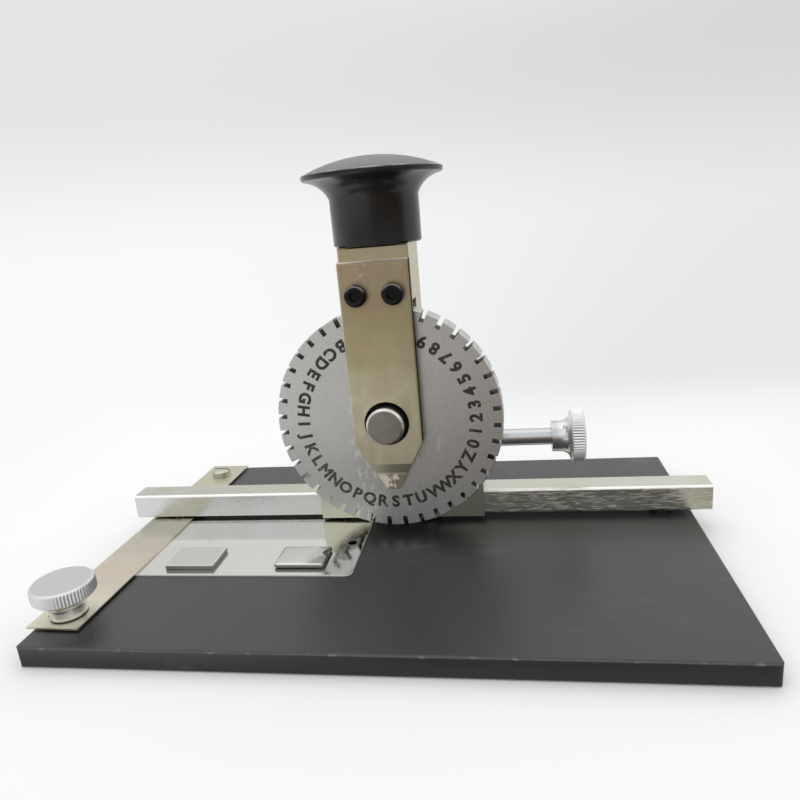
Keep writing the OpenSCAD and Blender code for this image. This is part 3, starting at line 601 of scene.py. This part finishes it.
washer_bronze = new_finish("washer_bronze")
place = on_surface()
tarnish = step(clouds(place, 0.005, 4.0), 0.4, 0.7)
coat(washer_bronze, blend(tarnish, bronze, tarnished_bronze), 0.3 + 0.15 * tarnish, 1.0,
     relief=clouds(place, 0.0004), depth=0.000002)
dress(washer_bronze, frame["nodes"]["dial_washer"])


# The character dial is a ground steel disc with forty milled teeth; the walls of its slots are painted
# black as painted shade.
# Stamped characters filled with black paint stand round its face, each over the tooth that prints it,
# and each tooth carries the same character on its rim, raised and mirrored.
def greater(first, second):
    """The larger of two values."""
    return Tone.node("ShaderNodeMath", {"operation": "MAXIMUM"}, {0: first, 1: second})


dial_low, dial_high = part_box("character_dial")
dial_middle = (dial_low + dial_high) / 2
dial_r = (dial_high.x - dial_low.x) / 2
pin_shade_r = 0.0104
dial_bright = (0.67, 0.67, 0.66, 1)
dial_hazy = (0.58, 0.575, 0.56, 1)
mottle_grey = (0.42, 0.415, 0.405, 1)
rub_bright = (0.82, 0.82, 0.81, 1)
scrape_bright = (0.90, 0.90, 0.89, 1)
shade_black = (0.02, 0.018, 0.015, 1)

dial_steel = new_finish("ground_dial_steel")
place = on_surface()
grinding = clouds(on_surface((400, 400, 14)), 0.6, 3.0)
haze = clouds(place, 0.018, 3.0)
mottle = step(clouds(place, 0.0009, 4.0), 0.44, 0.60)
wear_and_highlight = step(clouds(on_surface((160, 60, 30), (0, 0.5, 0)), 0.6, 3.0), 0.64, 0.74)
wear_and_highlight = wear_and_highlight * step(haze, 0.45, 0.6)
scraped = band(axis_of(place, 0), plate_low.x - 0.003, plate_low.x + 0.008, 0.004)
scraped = scraped * drop(axis_of(place, 2), dial_middle.z - 0.002, dial_middle.z + 0.012)
scraped = scraped * step(clouds(on_surface((1, 1, 0.4), (0, -0.15, 0)), 0.0016, 3.0), 0.52, 0.62)
from_pin = from_axis(dial_middle, 1)
from_faces = lesser(axis_of(place, 1) - dial_low.y, dial_high.y - axis_of(place, 1))
# Painted shade: the walls inside the slots are painted black.
slot_shade = step(from_faces, 0.0001, 0.0007) * drop(from_pin, dial_r - 0.0012, dial_r - 0.0004)
# Painted shade: a black disc round the pin, seen through the gap round it in the plate's hole.
pin_shade = drop(from_pin, pin_shade_r - 0.0012, pin_shade_r)
colour = blend(haze, dial_bright, dial_hazy)
colour = blend(mottle * 0.28, colour, mottle_grey)
colour = blend(wear_and_highlight * 0.5, colour, rub_bright)
colour = blend(scraped * 0.55, colour, scrape_bright)
colour = blend(greater(slot_shade, pin_shade), colour, shade_black)
roughness = 0.40 + 0.08 * grinding + 0.06 * haze
coat(dial_steel, colour, roughness, 1.0, relief=grinding, depth=0.000003)
dress(dial_steel, frame["nodes"]["character_dial"])

characters = "STUVWXYZ0123456789&/-.ABCDEFGHIJKLMNOPQR"
letter_size = 0.0067
letter_bold = 0.00030
letter_ring = 0.0352
type_size = 0.0042
type_bold = 0.00008
sign_rise = 0.00005
paint_black = (0.022, 0.020, 0.018, 1)
paint_thin = (0.14, 0.135, 0.13, 1)
faded_black = (0.05, 0.048, 0.046, 1)
faded_thin = (0.27, 0.265, 0.26, 1)


def dial_signs(name, size, bold, rise, place_of):
    """The dial's characters as one thin relief. place_of turns an angle from straight down into a place."""
    signs = []
    for count, character in enumerate(characters):
        bpy.ops.object.select_all(action="DESELECT")
        bpy.ops.object.text_add()
        sign = bpy.context.object
        sign.data.body = character
        sign.data.size = size
        sign.data.align_x = "CENTER"
        sign.data.align_y = "CENTER"
        sign.data.resolution_u = 3
        sign.data.extrude = bold
        sign.data.bevel_depth = bold
        sign.data.bevel_resolution = 0
        bpy.ops.object.convert(target="MESH")
        flatten = Matrix.Diagonal((1, 1, rise / (2 * bold), 1))
        sign.matrix_world = place_of(count * 2 * math.pi / len(characters)) @ flatten
        bpy.ops.object.transform_apply(location=True, rotation=True, scale=True)
        signs.append(sign)
    bpy.ops.object.select_all(action="DESELECT")
    for sign in signs:
        sign.select_set(True)
    bpy.context.view_layer.objects.active = signs[0]
    bpy.ops.object.join()
    relief = bpy.context.object
    relief.name = name
    bpy.ops.object.mode_set(mode="EDIT")
    bpy.ops.mesh.select_all(action="SELECT")
    bpy.ops.mesh.remove_doubles(threshold=1e-7)
    bpy.ops.mesh.normals_make_consistent(inside=False)
    bpy.ops.object.mode_set(mode="OBJECT")
    return relief


def on_face(angle):
    """Place of a letter on the dial's front face."""
    spot = Vector((math.sin(angle) * letter_ring, 0, -math.cos(angle) * letter_ring))
    return (Matrix.Translation(Vector((dial_middle.x, dial_low.y, dial_middle.z)) + spot)
            @ Matrix.Rotation(-angle, 4, "Y") @ Matrix.Rotation(math.pi / 2, 4, "X"))


def on_rim(angle):
    """Place of a mirrored type face on the end of its tooth."""
    spot = Vector((math.sin(angle) * dial_r, 0, -math.cos(angle) * dial_r))
    return (Matrix.Translation(dial_middle + spot) @ Matrix.Rotation(-angle, 4, "Y")
            @ Matrix.Rotation(math.pi, 4, "X") @ Matrix.Diagonal((-1, 1, 1, 1)))


letters = dial_signs("dial_characters", letter_size, letter_bold, sign_rise, on_face)
letter_paint = new_finish("letter_black")
place = on_surface()
thin = step(clouds(place, 0.0012, 3.0), 0.5, 0.75)
to_low_left = dial_middle.x - axis_of(place, 0) + dial_middle.z - axis_of(place, 2)
fresh = blend(thin, paint_black, paint_thin)
faded = blend(thin, faded_black, faded_thin)
colour = blend(step(to_low_left, 0.036, 0.046), fresh, faded)
coat(letter_paint, colour, 0.5 + 0.2 * thin, relief=clouds(place, 0.0003), depth=0.000005)
dress(letter_paint, letters)
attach(letters, "dial")

type_faces = dial_signs("dial_type", type_size, type_bold, sign_rise, on_rim)
dress(dial_steel, type_faces)
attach(type_faces, "dial")


# The press knob is a mushroom of black thermoset, moulded in one with a straight neck, a flared underside,
# a thin rounded lip and a shallow dome. It screws down on the stud in the arm's top.
def lathe(name, middle, rings, around=96):
    """Turns a solid: a disc is drawn up and scaled through rings of (radius, height) round middle."""
    bpy.ops.object.select_all(action="DESELECT")
    radius, height = rings[0]
    bpy.ops.mesh.primitive_circle_add(vertices=around, radius=radius, fill_type="NGON",
                                      location=(middle.x, middle.y, height))
    piece = bpy.context.object
    piece.name = name
    bpy.ops.object.transform_apply(location=True, rotation=True, scale=True)
    bpy.ops.object.mode_set(mode="EDIT")
    bpy.ops.mesh.select_all(action="SELECT")
    for wider, higher in rings[1:]:
        bpy.ops.mesh.extrude_region_move(TRANSFORM_OT_translate={"value": (0, 0, higher - height)})
        bpy.ops.transform.resize(value=(wider / radius, wider / radius, 1),
                                 center_override=(middle.x, middle.y, higher))
        radius, height = wider, higher
    bpy.ops.mesh.select_all(action="SELECT")
    bpy.ops.mesh.normals_make_consistent(inside=False)
    bpy.ops.object.mode_set(mode="OBJECT")
    bpy.ops.object.shade_smooth_by_angle(angle=math.radians(32))
    return piece


knob_low, knob_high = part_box("press_knob")
knob_middle = (knob_low + knob_high) / 2
cap_r = (knob_high.x - knob_low.x) / 2
neck_r = 0.0172
neck_h = 0.0175
lip_h = 0.0258
lip_r = 0.0011
foot_edge = 0.0006
lip_edge = 0.0003
flare_cone = 0.35
flare_steps = 12
lip_steps = 6
dome_steps = 16
rim_r = cap_r - lip_edge
dome_foot = lip_h + lip_r
dome_h = knob_high.z - knob_low.z - dome_foot
dome_r = (rim_r ** 2 + dome_h ** 2) / (2 * dome_h)
dome_angle = math.asin(rim_r / dome_r)
thermoset_black = (0.005, 0.005, 0.0052, 1)
thermoset_handled = (0.009, 0.009, 0.009, 1)
dome_grey = (0.15, 0.15, 0.15, 1)
rim_grey = (0.35, 0.35, 0.35, 1)

profile = [(neck_r - foot_edge, 0), (neck_r, foot_edge)]
for part in range(flare_steps + 1):
    turn = math.radians(90 * part / flare_steps)
    straight = part / flare_steps * flare_cone
    outwards = straight + (1 - flare_cone) * (1 - math.cos(turn))
    upwards = straight + (1 - flare_cone) * math.sin(turn)
    profile.append((neck_r + (cap_r - lip_r - neck_r) * outwards,
                    neck_h + (lip_h - lip_r - neck_h) * upwards))
for part in range(1, lip_steps + 1):
    turn = math.radians(-90 + 90 * part / lip_steps)
    profile.append((cap_r - lip_r + lip_r * math.cos(turn), lip_h + lip_r * math.sin(turn)))
profile.append((cap_r, dome_foot - lip_edge))
for part in range(dome_steps):
    turn = dome_angle * (1 - part / dome_steps)
    profile.append((dome_r * math.sin(turn), dome_foot + dome_h - dome_r * (1 - math.cos(turn))))
knob = lathe("mushroom_knob", knob_middle, [(r, knob_low.z + h) for r, h in profile])

knob_plastic = new_finish("black_thermoset")
place = on_surface()
handled = step(clouds(place, 0.012, 3.0), 0.4, 0.7)
moulded = clouds(place, 0.0007, 2.0)
streaks = clouds(on_surface((60, 400, 60), (0, 0, 0.2)), 1.0, 3.0)
dome = step(axis_of(place, 2), knob_low.z + dome_foot - lip_edge, knob_low.z + dome_foot)
rubbed_rim = dome * step(from_axis(knob_middle, 2), rim_r - 0.0007, rim_r - 0.0003)
rubbed_rim = rubbed_rim * step(clouds(place, 0.006, 3.0), 0.42, 0.6)
colour = blend(handled * 0.6, thermoset_black, thermoset_handled)
colour = blend(dome * (0.7 + 0.3 * streaks), colour, dome_grey)
colour = blend(rubbed_rim, colour, rim_grey)
coat(knob_plastic, colour, 0.24 + 0.08 * handled + 0.12 * dome, relief=moulded, depth=0.000006)
dress(knob_plastic, knob)
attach(knob, "arm")
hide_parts("press_knob")


# The lock screw in the arm's boss is a turned thumb screw: a serrated disc, a flared neck, a long shank.
# The strip's clamp screw is its short twin; its collar is painted brighter as a painted highlight, with a
# painted contact shadow in the joint under it.
# Both are bright nickel plated.
lock_low, lock_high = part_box("lock_screw")
clamp_low, clamp_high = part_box("clamp_screw")
strip_low, strip_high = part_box("hold_strip")
disc_r = (clamp_high.x - clamp_low.x) / 2
lock_tone = 0.74
clamp_tone = 0.69
shank_grey = (0.535, 0.545, 0.56, 1)
collar_highlight_bright = (0.86, 0.85, 0.82, 1)
contact_shadow = (0.06, 0.055, 0.04, 1)


def bright_nickel(name, middle, along, tone):
    """Nickel plate with haze and hairlines, dull on the serrated rim and painted brighter there as a
    painted highlight: finish, colour and roughness.
    """
    finish = new_finish(name)
    haze = clouds(on_surface(), 0.006, 3.0)
    hair = step(clouds(on_surface((90, 700, 300), (0.4, 0.3, 0.7)), 1.0, 2.0), 0.62, 0.72)
    rim = step(from_axis(middle, along), disc_r - 0.0012, disc_r - 0.0005)
    colour = blend(haze, (tone, tone, tone * 1.02, 1), (tone * 0.9, tone * 0.9, tone * 0.92, 1))
    # Painted highlight: the serrated rim is painted brighter than the rest.
    colour = blend(rim, colour, (tone * 1.15, tone * 1.15, tone * 1.17, 1))
    return finish, colour, 0.20 + 0.10 * haze + 0.12 * hair + 0.25 * rim


lock_nickel, colour, roughness = bright_nickel("lock_nickel", (lock_low + lock_high) / 2, 0, lock_tone)
shank = drop(axis_of(on_surface(), 0), lock_high.x - 0.012, lock_high.x - 0.009)
coat(lock_nickel, blend(shank, colour, shank_grey), roughness, 1.0)
dress(lock_nickel, frame["nodes"]["lock_screw"])

clamp_nickel, colour, roughness = bright_nickel("clamp_nickel", (clamp_low + clamp_high) / 2, 2, clamp_tone)
over_strip = axis_of(on_surface(), 2) - strip_high.z
# Painted highlight: the collar is painted brighter than the rest of the screw.
highlighted_collar = drop(over_strip, 0.0032, 0.0040)
colour = blend(highlighted_collar, colour, collar_highlight_bright)
# Painted shadow: a dark ring at the foot of the collar, where it stands on the strip.
colour = blend(drop(over_strip, 0.0003, 0.0009), colour, contact_shadow)
coat(clamp_nickel, colour, roughness + 0.12 * highlighted_collar, 1.0)
dress(clamp_nickel, frame["nodes"]["clamp_screw"])


# The hold-down strip is thin spring steel with a gold zinc film: straw in front, then pinkish, then olive.
# It presses on the tag's left end, and two turned zinc shims keep it level.
# Its rear end turns on a slotted pan-head screw in plain zinc.
strip_straw = (0.76, 0.735, 0.59, 1)
strip_pink = (0.68, 0.60, 0.51, 1)
strip_olive = (0.62, 0.605, 0.47, 1)
strip_patch = (0.56, 0.55, 0.42, 1)
strip_line = (0.45, 0.42, 0.33, 1)
pivot_pale = (0.62, 0.61, 0.54, 1)
pivot_tinted = (0.56, 0.54, 0.42, 1)

strip_zinc = new_finish("strip_gold_zinc")
place = on_surface()
along = axis_of(place, 1)
lines = clouds(on_surface((90, 4, 90)), 0.02, 4.0)
film = along + 0.02 * (clouds(place, 0.012, 3.0) - 0.5)
polished = step(along, rail_low.y - 0.040, rail_low.y - 0.025)
polished = polished * drop(along, rail_high.y, rail_high.y + 0.005)
colour = blend(step(film, strip_low.y + 0.012, strip_low.y + 0.030), strip_straw, strip_pink)
colour = blend(step(film, -0.016, 0.004), colour, strip_olive)
colour = blend(step(clouds(place, 0.016, 3.0), 0.5, 0.66) * 0.5, colour, strip_patch)
colour = blend(lines * 0.35, colour, strip_line)
coat(strip_zinc, colour, 0.34 + 0.10 * lines - 0.22 * polished, 1.0, relief=lines, depth=0.000001)
dress(strip_zinc, frame["nodes"]["hold_strip"])

pivot_zinc = zinc("pivot_zinc", pivot_pale, pivot_tinted, tint_size=0.006, rough=0.24)
dress(pivot_zinc, frame["nodes"]["strip_pivot_screw"], frame["nodes"]["strip_shims"])


# The tag is a blank of mirror-polished stainless sheet with rounded corners and a hole at each end.
# Oily smears lie at its right end, by the hole and beside the magnet.
# A painted highlight whitens its edges, and its holes are painted black as painted shade.
tag_low, tag_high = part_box("tag_plate")
hole_r = 0.00175
hole_inset = 0.0049
left_hole = Vector((tag_low.x + hole_inset, (tag_low.y + tag_high.y) / 2, 0))
right_hole = Vector((tag_high.x - hole_inset, left_hole.y, 0))
smear_spots = ((-0.0208, -0.0235, 0.0040), (-0.0180, -0.0090, 0.0036))
smear_squeeze = 0.6
mirror_steel = (0.76, 0.76, 0.74, 1)
hazy_steel = (0.71, 0.71, 0.69, 1)
smear_grey = (0.24, 0.23, 0.20, 1)
edge_highlight_white = (0.90, 0.90, 0.88, 1)
hole_shade_black = (0.008, 0.008, 0.007, 1)

tag_steel = new_finish("mirror_tag_steel")
place = on_surface()
haze = clouds(place, 0.02, 3.0)
ragged = step(clouds(on_surface((1, 0.6, 1), (0, 0, 0.5)), 0.0035, 4.0), 0.44, 0.62)


def smear(x, y, reach):
    """A ragged oily patch round a spot on the tag."""
    gap = length_of(on_surface((1, smear_squeeze, 0), move=(-x, -smear_squeeze * y, 0)))
    return drop(gap, reach * 0.3, reach) * ragged


smears = sum(smear(*spot) for spot in smear_spots)
from_hole = lesser(from_axis(left_hole, 2), from_axis(right_hole, 2))
# Painted shade: the hole walls are black and not metallic.
hole_shade = drop(from_hole, hole_r + 0.0001, hole_r + 0.0003)
# Painted highlight: the edge faces and a thin strip along the front of the top are white and not metallic.
over_edge_highlight = lesser(axis_of(place, 1) - tag_low.y, axis_of(place, 2) - tag_high.z + 0.0002)
edge_highlight = drop(over_edge_highlight, 0.00005, 0.0002)
colour = blend(haze, mirror_steel, hazy_steel)
colour = blend(smears * 0.7, colour, smear_grey)
colour = blend(edge_highlight, colour, edge_highlight_white)
colour = blend(hole_shade, colour, hole_shade_black)
roughness = 0.09 + 0.05 * haze + 0.25 * smears + 0.4 * edge_highlight + 0.5 * hole_shade
coat(tag_steel, colour, roughness, (1 - hole_shade) * (1 - edge_highlight), relief=clouds(place, 0.012), depth=0.000008)
dress(tag_steel, frame["nodes"]["tag_plate"])


# Two nickel-plated block magnets hold the tag's front edge down.
# The right one has worn, rounded edges and a chip out of its right side that shows the grey core.
magnet_nickel = (0.67, 0.665, 0.645, 1)
magnet_hazy = (0.60, 0.595, 0.575, 1)
magnet_side = (0.16, 0.157, 0.153, 1)
magnet_core = (0.10, 0.095, 0.09, 1)


def magnet_skin(name, top):
    """Nickel plate, duller and darker on the sides than on the top: finish, colour and roughness."""
    finish = new_finish(name)
    place = on_surface()
    haze = clouds(place, 0.006, 3.0)
    side = drop(axis_of(place, 2), top - 0.0005, top - 0.0002)
    colour = blend(haze, magnet_nickel, magnet_hazy)
    colour = blend(side * 0.85, colour, magnet_side)
    return finish, colour, 0.16 + 0.10 * haze + 0.15 * side


left_skin, colour, roughness = magnet_skin("magnet_nickel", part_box("hold_magnet_left")[1].z)
coat(left_skin, colour, roughness, 1.0)
dress(left_skin, frame["nodes"]["hold_magnet_left"])

magnet_low, magnet_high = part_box("hold_magnet_right")
magnet_size = magnet_high - magnet_low
corner_round = 0.0012
edge_round = 0.00045
chip = Vector((magnet_high.x - 0.0006, magnet_low.y + 0.64 * magnet_size.y, magnet_high.z))
chip_reach = Vector((0.0019, 0.0026, 0.0008))
bpy.ops.object.select_all(action="DESELECT")
bpy.ops.mesh.primitive_cube_add(size=1, location=(magnet_low + magnet_high) / 2, scale=magnet_size)
magnet = bpy.context.object
magnet.name = "chipped_magnet"
bpy.ops.object.transform_apply(location=True, rotation=True, scale=True)
for edge in magnet.data.edges:
    one, two = (magnet.data.vertices[v].co for v in edge.vertices)
    edge.select = abs(one.z - two.z) > magnet_size.z / 2
bpy.context.tool_settings.mesh_select_mode = (False, True, False)
bpy.ops.object.mode_set(mode="EDIT")
bpy.ops.mesh.bevel(offset=corner_round, segments=4, affect="EDGES")
bpy.ops.mesh.select_all(action="DESELECT")
bpy.ops.mesh.edges_select_sharp(sharpness=math.radians(40))
bpy.ops.mesh.bevel(offset=edge_round, segments=3, affect="EDGES")
bpy.ops.object.mode_set(mode="OBJECT")

bpy.ops.object.select_all(action="DESELECT")
bpy.ops.mesh.primitive_ico_sphere_add(subdivisions=3, radius=1, location=chip, scale=chip_reach)
bite = bpy.context.object
bpy.ops.object.transform_apply(location=True, rotation=True, scale=True)
bpy.ops.object.mode_set(mode="EDIT")
bpy.ops.mesh.select_all(action="SELECT")
bpy.ops.transform.vertex_random(offset=0.0002, uniform=0.3, normal=0.7, seed=7)
bpy.ops.object.mode_set(mode="OBJECT")
pick(magnet)
chipping = magnet.modifiers.new("chipping", "BOOLEAN")
chipping.operation = "DIFFERENCE"
chipping.object = bite
bpy.ops.object.modifier_apply(modifier=chipping.name)
bpy.data.objects.remove(bite)
bpy.ops.object.shade_smooth_by_angle(angle=math.radians(35))

right_skin, colour, roughness = magnet_skin("chipped_magnet_nickel", magnet_high.z)
place = on_surface()
under_skin = lesser(magnet_high.x - axis_of(place, 0), magnet_high.z - axis_of(place, 2))
chip_move = [-c / r for c, r in zip(chip, chip_reach)]
from_chip = length_of(on_surface([1 / r for r in chip_reach], move=chip_move))
core = step(under_skin, 0.00002, 0.00012) * drop(from_chip, 1.0, 1.15)
crumbs = clouds(place, 0.0004, 3.0)
coat(right_skin, blend(core, colour, magnet_core), roughness + 0.3 * core, 1.0 - 0.6 * core,
     relief=crumbs * core, depth=0.0001)
dress(right_skin, magnet)
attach(magnet, "magnet_right")
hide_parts("hold_magnet_right")


# The bench is a plain pale surface that runs back into a pale wall without an edge.
# It stays clean white to the eye, but in the machine's bright metal the bench in front mirrors duller.
bench_reach = 4.0
bench_top = -0.0001
bench_white = (0.92, 0.92, 0.92, 1)
wall_left = (0.945, 0.945, 0.945, 1)
wall_right = (0.795, 0.807, 0.81, 1)
mirrored_left = (1.0, 1.0, 0.99, 1)
mirrored_right = (0.20, 0.13, 0.075, 1)
mirrored_far = (0.40, 0.39, 0.38, 1)
mirrored_near = (0.38, 0.36, 0.34, 1)
mirrored_edge = (0.50, 0.48, 0.41, 1)

bpy.ops.object.select_all(action="DESELECT")
bpy.ops.mesh.primitive_plane_add(size=2 * bench_reach, location=(0, 0, bench_top))
bench = bpy.context.object
bench.name = "bench"

bench_finish = new_finish("bench_white")
place = on_surface()
ahead = 0 - axis_of(place, 1)
to_right = step(axis_of(place, 0) / length_of(place), -0.5, 0.5)
mirrored = Tone.node("ShaderNodeLightPath", out="Is Glossy Ray")
at_right = step(axis_of(place, 0), base_high.x, base_high.x + 0.01) * drop(axis_of(place, 1), 0.0, 0.03)
in_front = step(ahead, base_high.y - 0.010, base_high.y)
dull = greater(mirrored * in_front, mirrored * at_right)
shaded = blend(step(axis_of(place, 0), -0.07, 0.02), mirrored_left, mirrored_right)
shaded = blend(step(ahead, 0.3, 0.9), shaded, mirrored_far)
shaded = blend(step(ahead, base_high.y + 0.002, base_high.y + 0.015), mirrored_near, shaded)
shaded = blend(in_front, mirrored_edge, shaded)
tone = blend(dull, blend(to_right, wall_left, wall_right), shaded)
glow = Tone.node("ShaderNodeEmission", sockets={"Color": tone, "Strength": 1.0})
matt = Tone.node("ShaderNodeBsdfDiffuse", sockets={"Color": bench_white, "Roughness": 0.0})
beside = greater(off_middle(place, 0) - base_high.x, off_middle(place, 1) - base_high.y)
far = greater(step(beside, 0.03, 0.22), dull)
mixed = Tone.node("ShaderNodeMixShader", sockets={0: far, 1: matt, 2: glow})
bench_output = bench_finish.node_tree.nodes["Material Output"]
bench_finish.node_tree.links.new(mixed.socket, bench_output.inputs["Surface"])
dress(bench_finish, bench)


# The light is a white room, brightest overhead and dull at eye level in front of the machine.
# One large soft lamp hangs over the machine's back and gives it a soft shadow.
eye_left = (0.78, 0.78, 0.78, 1)
eye_right = (0.67, 0.675, 0.675, 1)
above_left = (0.80, 0.80, 0.80, 1)
above_right = (1.12, 1.12, 1.12, 1)
above_front = (1.05, 1.05, 1.05, 1)
dull_left = (0.52, 0.52, 0.51, 1)
dull_right = (0.40, 0.34, 0.29, 1)
overhead = (1.0, 1.0, 1.0, 1)
lamp_at = Vector((-0.32, 0.28, 1.25))
lamp_target = Vector((0, 0, 0.03))

world = bpy.data.worlds.new("white_room")
bpy.context.scene.world = world
world.use_nodes = True
Tone.tree = world.node_tree
way = Tone.node("ShaderNodeTexCoord", out="Generated")
rise = axis_of(way, 2)
to_right = step(axis_of(way, 0), -0.5, 0.5)
front = step(0 - axis_of(way, 1), 0.0, 0.4)
unseen = 1 - Tone.node("ShaderNodeLightPath", out="Is Camera Ray")
eye_level = blend(to_right, eye_left, eye_right)
wall = blend(step(rise, -0.04, 0.18), blend(to_right, wall_left, wall_right), eye_level)
above = blend(front, blend(to_right, above_left, above_right), above_front)
dull_side = blend(step(axis_of(way, 0), -0.3, 0.2), dull_left, dull_right)
room = blend(step(rise, 0.19, 0.44), wall, above)
room = blend(front * drop(rise, 0.02, 0.28) * unseen, room, dull_side)
room = blend(step(rise, 0.6, 0.85), room, overhead)
backdrop = Tone.node("ShaderNodeBackground", sockets={"Color": room, "Strength": 1.0})
world.node_tree.links.new(backdrop.socket, world.node_tree.nodes["World Output"].inputs["Surface"])

lamp = bpy.data.lights.new("soft_lamp", "AREA")
lamp.shape = "DISK"
lamp.size = 1.7
lamp.energy = 2.8
lamp_stand = bpy.data.objects.new("soft_lamp", lamp)
bpy.context.scene.collection.objects.link(lamp_stand)
lamp_aim = (lamp_target - lamp_at).to_track_quat("-Z", "Y").to_matrix().to_4x4()
lamp_stand.matrix_world = Matrix.Translation(lamp_at) @ lamp_aim


# The camera stands close in front of the machine, a little to the right of the dial and above it.
# It has a wide lens, looks down and to the left, and is rolled a little.
camera_at = Vector((0.047812, -0.250088, 0.136477))
camera_yaw = math.radians(9.791)
camera_pitch = math.radians(-15.556)
camera_roll = math.radians(5.069)
camera = bpy.data.cameras.new("view")
camera.sensor_width = 36
camera.lens = 29.987
camera.clip_start = 0.01
view = bpy.data.objects.new("view", camera)
bpy.context.scene.collection.objects.link(view)
view.matrix_world = (Matrix.Translation(camera_at) @ Matrix.Rotation(camera_yaw, 4, "Z")
                     @ Matrix.Rotation(camera_pitch, 4, "X") @ Matrix.Rotation(camera_roll, 4, "Y")
                     @ Matrix.Rotation(math.pi / 2, 4, "X"))
bpy.context.scene.camera = view
bpy.context.scene.view_settings.view_transform = "Standard"
